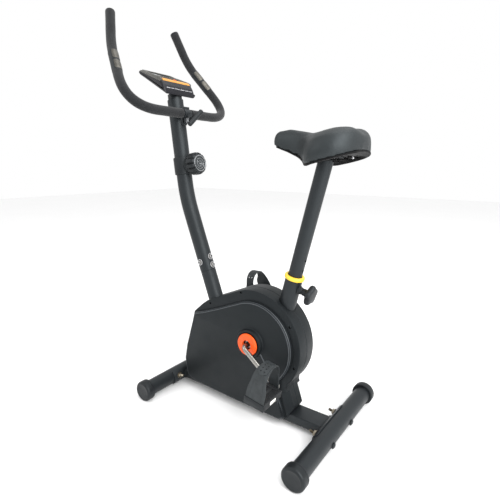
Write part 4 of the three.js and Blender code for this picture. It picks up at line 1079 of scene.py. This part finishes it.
def build_console():
    nose = [(-685, 1039.5), (-691, 1045.5), (-689.5, 1052), (-681.5, 1054.6)]
    profile = [console_side(x, z) for x, z in nose + LIP_EDGE + [(-572, 973)]]
    corners = filleted(profile, [6, 8, 8, 6, 3, 12, 16, 10, 6], 5)
    ends = [(66, 6.2), (65.4, 4.2), (64.4, 2.6), (63, 1.6), (61, 0.8), (58.5, 0.3), (55.5, 0), (52, 0)]
    rings = []
    for y, shift in [(-y, shift) for y, shift in ends] + ends[::-1]:
        lowest = 0.973 + 0.8 * (14 - math.sqrt(196 - (abs(y) - 52) ** 2)) / 1000
        ring = [on_console(a, y, c) for a, c in inset(corners, shift)]
        rings.append([Vector((p.x, p.y, max(p.z, lowest))) for p in ring])
    body = raw("console_body", loft(rings))
    pocket = raw("pocket", slab(rounded(25, -55, 95, 55, 5), -2.2, 8, 0.01, on_console))
    carved(body, [pocket, drill(5.9, on_console(BUTTON_AT, 0, -6), on_console(BUTTON_AT, 0, 6))])
    dress(body, "gloss", "frame", ["console_housing"], 30)

    outer, inner = rounded(24, -62, 103, 62, 9, 6), rounded(30, -51, 96, 51, 5, 6)
    rim = [[on_console(a, b, height) for a, b in inset(outline, shift)] for outline, shift, height in (
        (outer, 0, -1.6), (outer, 0, 1.2), (outer, 0.9, 2.2), (outer, 2.8, 2.6),
        (inner, -1.6, 2.5), (inner, -0.2, 1.8), (inner, 0.4, -1.6), (inner, -3.5, -2.0))]
    piece("console_bezel", loft(rim, closed=True), "bezel", "frame")
    cheeks = []
    for _, side in SIDES:
        rings = []
        for a, h in ((2.6, 0.5), (3.4, 3.0), (6, 5.0), (12, 6.0), (22, 5.6), (40, 4.6), (60, 3.6), (80, 2.0),
                     (94, 0.9), (101.5, -0.4), (102.5, -1.5)):
            section = ((65.7, -5.4), (65.6, h - 2.4), (65.0, h - 0.9), (63.4, h), (59.6, h), (57, h - 1.4),
                       (56.4, -1.0), (58.5, -3.4))
            rings.append([on_console(a, side * y, max(c, -5.4)) for y, c in section])
        cheeks.append(loft(rings))
    piece("console_cheeks", merged(*cheeks), "bezel", "frame")
    for name, outline, low, high, edge, key, replaces in (
            ("label", rounded(26, -54.5, 50, 54.5, 2), -2.0, -0.9, 0.3, "amber", ()),
            ("window", rounded(51, -54.5, 94.5, 54.5, 2), -2.0, -0.8, 0.3, "glass", ["console_display"]),
            ("hood", rounded(50, -46, 54, 46, 1.6), -1.6, 2.6, 0.8, "bezel", ())):
        piece(f"console_{name}", slab(outline, low, high, edge, on_console), key, "frame", replaces)

    crown = [(1.2, -0.4), (1.6, 1.6), (3.4, 3.4), (7, 4.6), (12, 4.6), (17, 3.6), (21.5, 2.0), (23.6, 0.4),
             (23.6, -0.4)]
    rings = []
    for y, shrink in ((-57.4, 0.6), (-57, 0.9), (-55, 1), (55, 1), (57, 0.9), (57.4, 0.6)):
        narrow = 0.9 + 0.1 * shrink
        rings.append([on_console(12 + (a - 12) * narrow, y, c * shrink if c > 0 else c) for a, c in crown])
    roll = raw("console_roll", loft(rings))
    carved(roll, [drill(6.1, on_console(BUTTON_AT, 0, -3), on_console(BUTTON_AT, 0, 9))])
    dress(roll, "amber", "frame")
    cap = turned([(0, -4), (5.4, -4), (5.4, 4.6), (4.9, 5.4), (3.6, 5.8), (0, 5.6)],
                 on_console(BUTTON_AT, 0, 0), CONSOLE_UP, 32)
    piece("console_button_cap", cap, "orange", "console_button", ["console_button"])

    dashes = []
    y = -54.0
    for length in (15, 13, 19, 17, 15, 12):
        dashes.append(lip_mark(y, y + length, 22.4, 24.0))
        y += length + 3.4
    piece("console_lip_line", merged(*dashes), "trim", "frame")
    plug = rod(22, POST_TOP - HIGH_LINE * 0.062, level_on(POST_CORNER, HIGH_LINE, 980), 1, 48)
    piece("console_plug", plug, "black", "frame", ["console_bracket"])
    floor_line = heading(-685 + 572, 0, 1039.5 - 973)
    head = [(0, -0.4), (3.4, -0.4), (3.2, 0.7), (1.8, 1.2), (0, 1.2)]
    screws = [turned(head, at(-572, y, 973) + floor_line * (a / 1000), -forward_of(floor_line), 20)
              for a in (16, 104) for y in (-48, 48)]
    piece("console_screws", merged(*screws), "steel", "frame")


def lip_mark(y0, y1, low, high):
    """A thin printed bar on the curved lip, from low to high millimetres under its top edge."""
    line = Route([at(x, 0, z) for x, z in LIP_EDGE])
    rings = []
    for y in (y0, y1):
        ring = []
        for distance, lift in ((low, -0.3), (low, 0.25), (high, 0.25), (high, -0.3)):
            out = -forward_of(line.tangent(distance))
            ring.append(line.point(distance) + Vector((0, y / 1000, 0)) + out * (lift / 1000))
        rings.append(ring)
    return loft(rings)


# ---- Seat ----

def build_seat_post():
    foot = SEAT_TOP - SEAT_LINE * 0.135
    head = level_on(SEAT_TOP, SEAT_LINE, 779)
    length = (head - foot).length * 1000
    post = raw("saddle_post", turned([(18, 0), (19.6, 0), (20, 0.4), (20, length), (18, length)],
                                     foot, SEAT_LINE, 80, closed=True))
    holes = []
    for offset in (-70, -39, -8, 32, 63):
        centre = SEAT_TOP + SEAT_LINE * (offset / 1000)
        holes.append(drill(4.5, centre + SEAT_ACROSS * 0.004, centre + SEAT_ACROSS * 0.03, 28))
    carved(post, [as_one(holes)])
    dress(post, "paint", "seat", ["seat_post"])
    x = (head.x - REAR_AXIS) * 1000
    plate = slab(rounded(x - 38, -24, x + 38, 24, 6, 5), 778.2, 784.4, 0.8, at)
    ring = circle(head - SEAT_LINE * 0.0012, SEAT_ACROSS, LEFTWARD, 20.6, around(32, 1))
    piece("saddle_post_plate", merged(plate, bead(ring, 2.0)), "paint", "seat")
    nuts = []
    thread = [(0, 0), (3.6, 0), (3.6, 10.5), (3, 11), (0, 11)]
    for dx in (-27, 27):
        for dy in (-15, 15):
            nuts.append(nut(at(x + dx, dy, 778.0), -UPWARD, 7.2, 6, 9.4))
            nuts.append(turned(thread, at(x + dx, dy, 779), -UPWARD, 20))
    piece("saddle_bolts", merged(*nuts), "pan", "seat")
    collar = turned([(20.4, -15), (22.4, -15), (22.4, 0.4), (26.4, 0.5), (28.0, 1.2), (28.9, 3), (29.1, 5.5),
                     (28.9, 8), (28.0, 10.2), (26.2, 11.4), (23, 11.6), (21.2, 11.2), (20.4, 10)],
                    SEAT_TOP, SEAT_LINE, 80, closed=True)
    piece("seat_collar_ring", collar, "yellow", "frame", ["seat_collar"])


def build_seat_knob():
    """A five-lobed hand knob on a spring pin."""
    rings = []
    for distance, radius in ((50.8, 8), (51.2, 17), (52.2, 21.5), (54, 24.5), (57, 26.6), (61, 27.2),
                             (65, 26.6), (68, 24.4), (69.6, 21), (70.4, 15), (70.8, 8)):
        def lobed(a):
            return radius * (1 + 0.1 * math.cos(5 * a) * min(1, radius / 22))
        middle = SEAT_PIN + SEAT_ACROSS * (distance / 1000)
        rings.append(circle(middle, SEAT_LINE, LEFTWARD, lobed, around(120)))
    hub = turned([(0, 36.2), (9, 36.2), (10.2, 37.4), (10.4, 44), (12, 49), (14, 52), (0, 52)],
                 SEAT_PIN, SEAT_ACROSS, 40)
    piece("seat_hand_knob", merged(loft(rings), hub), "black", "seat_knob", ["seat_knob"])
    shank = turned([(0, 20.8), (3.4, 20.8), (4.6, 22), (5.4, 22.6), (5.4, 37), (0, 37)],
                   SEAT_PIN, SEAT_ACROSS, 28)
    piece("seat_pin", shank, "steel", "seat_knob")


SADDLE_TABLE = (
    # x, half width, top height, skirt height
    (-214.0, 8, 829, 816), (-208, 17, 841, 811), (-198, 23.5, 850, 807.5), (-182, 26.5, 852, 802),
    (-160, 29, 850, 795), (-142, 32.5, 847, 788), (-122, 38, 843.5, 780), (-104, 51, 840, 770.5),
    (-89, 71, 837.5, 761.5), (-73, 93, 837.5, 760), (-57, 106, 839, 763.5), (-37, 111.5, 843, 768),
    (-16, 110, 846.5, 773), (4, 103, 847.5, 778), (20, 89, 845.5, 783), (31, 70, 839.5, 787),
    (38, 46, 830, 790), (42, 20, 818, 793),
)
PLATE_TOP = 787.5


def saddle_at(x):
    """Half width, top height and skirt height at x: Catmull-Rom between the table's rows."""
    rows = SADDLE_TABLE
    i = next((i for i in range(len(rows) - 2) if x <= rows[i + 1][0]), len(rows) - 2)
    before, low, high, after = rows[max(i - 1, 0)], rows[i], rows[i + 1], rows[min(i + 2, len(rows) - 1)]
    t = (x - low[0]) / (high[0] - low[0])
    return [0.5 * (2 * b + (c - a) * t + (2 * a - 5 * b + 4 * c - d) * t * t
                   + (3 * b - a - 3 * c + d) * t ** 3)
            for a, b, c, d in zip(before[1:], low[1:], high[1:], after[1:])]


def mirrored(half):
    """A whole section from half of one that starts and ends on the middle plane."""
    return half + [(-y, z) for y, z in reversed(half[1:-1])]


def saddle_ring(x):
    """One cross-section, from the middle of the top, round the skirt and back under."""
    w, top, low = saddle_at(x)
    rear = max(0.0, min(1.0, (w - 45) / 55))
    height = top - low
    channel = 2.2 * rear
    under = max(low + 5, min(PLATE_TOP, top - 14))
    half = [(0.0, top - channel), (0.12, top - channel * 0.8), (0.3, top + 0.3),
            (0.5, top + 0.4 - height * 0.02), (0.7, top - height * (0.08 + 0.03 * rear)),
            (0.86, top - height * (0.22 + 0.04 * rear)), (0.96, top - height * (0.45 + 0.05 * rear)),
            (1.0, top - height * 0.68), (0.99, low + height * 0.14), (0.955, low + 1.0), (0.92, low),
            (0.87, low + 2.5), (0.84, low + 7), (0.8, under), (0.4, under), (0.0, under)]
    return mirrored([(share * w, z) for share, z in half])


def build_saddle():
    middle = (SADDLE_TABLE[0][0] + SADDLE_TABLE[-1][0]) / 2
    reach = (SADDLE_TABLE[-1][0] - SADDLE_TABLE[0][0]) / 2
    count = 58
    places = [middle - reach * math.cos(math.pi * k / count) for k in range(count + 1)]
    pad = raw("saddle_pad", loft([[at(x, y, z) for y, z in saddle_ring(x)] for x in places]))
    remesh = pad.modifiers.new("even", "REMESH")
    remesh.mode = "VOXEL"
    remesh.voxel_size = 0.005
    smooth = pad.modifiers.new("round", "SMOOTH")
    smooth.iterations = 4
    smooth.factor = 0.5
    settled(pad)
    inflate(pad, 0.002)
    fine = pad.modifiers.new("fine", "SUBSURF")
    fine.levels = fine.render_levels = 1
    settled(pad)
    dress(pad, "vinyl", "seat", ["saddle"], 50)


def inflate(obj, cap):
    """Blows a pad up as pressurised cloth, and lets no point move further than cap."""
    before = [v.co.copy() for v in obj.data.vertices]
    cloth = obj.modifiers.new("cloth", "CLOTH")
    cloth.settings.use_pressure = True
    cloth.settings.uniform_pressure_force = 4
    cloth.settings.effector_weights.gravity = 0
    cloth.point_cache.frame_start = 1
    cloth.point_cache.frame_end = 20
    for step in range(1, 21):
        SCENE.frame_set(step)
    graph = bpy.context.evaluated_depsgraph_get()
    after = bpy.data.meshes.new_from_object(obj.evaluated_get(graph))
    obj.modifiers.clear()
    SCENE.frame_set(1)
    for v, start, end in zip(obj.data.vertices, before, after.vertices):
        shift = end.co - start
        if shift.length > cap:
            shift *= cap / shift.length
        v.co = start + shift
    bpy.data.meshes.remove(after)


def pan_ring(x):
    w, top, low = saddle_at(x)
    inner = max(w * 0.935, 2)
    roof = min(low + (8 if x < -150 else 11), max(low + 5, min(PLATE_TOP, top - 14)) - 2)
    bottom = [(1.0, low + 1.5), (0.98, low - 0.6), (0.9, low - 0.6), (0.84, roof - 2), (0.0, roof)]
    upper = [(0.0, roof + 3), (0.9, roof + 2), (1.0, low + 3)]
    right = [(share * inner, z) for share, z in bottom]
    over = [(share * inner, z) for share, z in upper]
    left = [(-y, z) for y, z in right[-2::-1]] + [(-y, z) for y, z in over[:0:-1]]
    return [at(x, y, z) for y, z in right + left + over]


def build_saddle_pan():
    """The ribbed plastic pan under the padding: a shallow shell that follows the skirt's lower edge."""
    tail = SADDLE_TABLE[-1][0] - 4
    parts = [loft([pan_ring(-196 + (tail + 196) * k / 40) for k in range(41)])]

    def rib(x0, y0, x1, y1, low):
        parts.append(slab(rectangle(x0, y0, x1, y1), low + 4, low + 13, 0.4, at))

    for y in (-78, -58, -40, 40, 58, 78):
        for x0, x1 in ((-66, -24), (-20, 14)):
            (w0, _, low0), (w1, _, low1) = saddle_at(x0), saddle_at(x1)
            if abs(y) <= min(w0, w1) * 0.86:
                rib(x0, y - 1.3, x1, y + 1.3, max(low0, low1))
    for x in (-60, -38, -14, 8):
        w, _, low = saddle_at(x)
        for y0, y1 in ((-w * 0.86, -28), (28, w * 0.86)):
            rib(x - 1.3, y0, x + 1.3, y1, low)
    piece("saddle_pan", merged(*parts), "pan", "seat", ["saddle_base"])
    head = [(0, 0), (3, 0.2), (4.2, 1.4), (4.2, 3), (2.6, 3.2), (2.6, 9), (0, 9)]
    studs = [turned(head, at(-14, y, saddle_at(-14)[2] + 3.5), UPWARD, 24) for y in (-58, 58)]
    piece("saddle_studs", merged(*studs), "trim", "seat")


# ---- Nodes that keep their CAD shape ----

KEPT = {"bottom_bracket": "paint", "flywheel_bracket": "paint", "flywheel": "steel",
        "flywheel_shaft": "steel", "magnet_bracket": "zinc", "drive_pulley": "black", "drive_belt": "rubber",
        "tension_cable": "rubber"}


def dress_kept_nodes():
    for node, key in KEPT.items():
        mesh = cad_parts[node].data
        mesh.materials.clear()
        mesh.materials.append(MATERIALS[key][0])
        mesh.shade_smooth()
        mesh.set_sharp_from_angle(angle=30 * DEG)


# ---- Studio ----

def area_light(name, place, size, power):
    """A soft rectangular lamp that faces the middle of the bike."""
    data = bpy.data.lights.new(name, "AREA")
    data.shape = "RECTANGLE"
    data.size, data.size_y = size
    data.energy = power
    light = linked(name, data)
    light.location = place
    light.rotation_mode = "QUATERNION"
    light.rotation_quaternion = (Vector((0, 0, 0.6)) - light.location).to_track_quat("-Z", "Y")


def build_camera():
    data = bpy.data.cameras.new("camera")
    data.sensor_width = 36
    data.lens = 28.571
    data.clip_start, data.clip_end = 0.05, 30
    camera = linked("camera", data)
    right, up, back = (0.808, 0.590, 0.003), (-0.126, 0.168, 0.978), (0.576, -0.790, 0.210)
    camera.rotation_mode = "QUATERNION"
    camera.rotation_quaternion = Matrix((right, up, back)).transposed().to_quaternion()
    camera.location = at(390.8, -944.3, 761.6)
    SCENE.camera = camera


def build_studio():
    work = bmesh.new()
    bmesh.ops.create_grid(work, x_segments=8, y_segments=8, size=9)
    mesh = bpy.data.meshes.new("floor")
    work.to_mesh(mesh)
    work.free()
    floor = linked("floor", mesh)
    floor.location.z = -0.0005
    pale = Surface("floor_pale", (0.93, 0.93, 0.93), 0.7)
    pale.vary_colour(pale.pattern(2, 2), 0.99, 1.0)
    mesh.materials.append(pale.material)

    world = bpy.data.worlds.new("studio")
    world.use_nodes = True
    world.node_tree.nodes["Background"].inputs["Color"].default_value = (1, 1, 1, 1)
    world.node_tree.nodes["Background"].inputs["Strength"].default_value = 1.0
    SCENE.world = world
    SCENE.view_settings.view_transform = "Standard"
    area_light("key", (-1.9, -2.2, 2.4), (1.4, 2.0), 22)
    area_light("rear_fill", (2.6, -0.8, 1.9), (2.8, 2.8), 120)
    area_light("strip", (1.5, -0.5, 2.6), (0.3, 2.6), 12)
    area_light("top", (0.6, 0.6, 3.2), (2.4, 2.4), 30)


def main():
    build_camera()
    build_studio()
    for end, x, half, inward in STABILISERS:
        build_stabiliser(end, x, half, inward)
    build_main_tube()
    build_post_stub()
    build_seat_tube()
    build_post()
    build_clamp()
    build_handlebar()
    build_tension()
    for name, side in SIDES:
        build_casing_half(name, side)
        build_pedal(name, side)
    build_crank()
    build_console()
    build_seat_post()
    build_seat_knob()
    build_saddle()
    build_saddle_pan()
    dress_kept_nodes()


main()
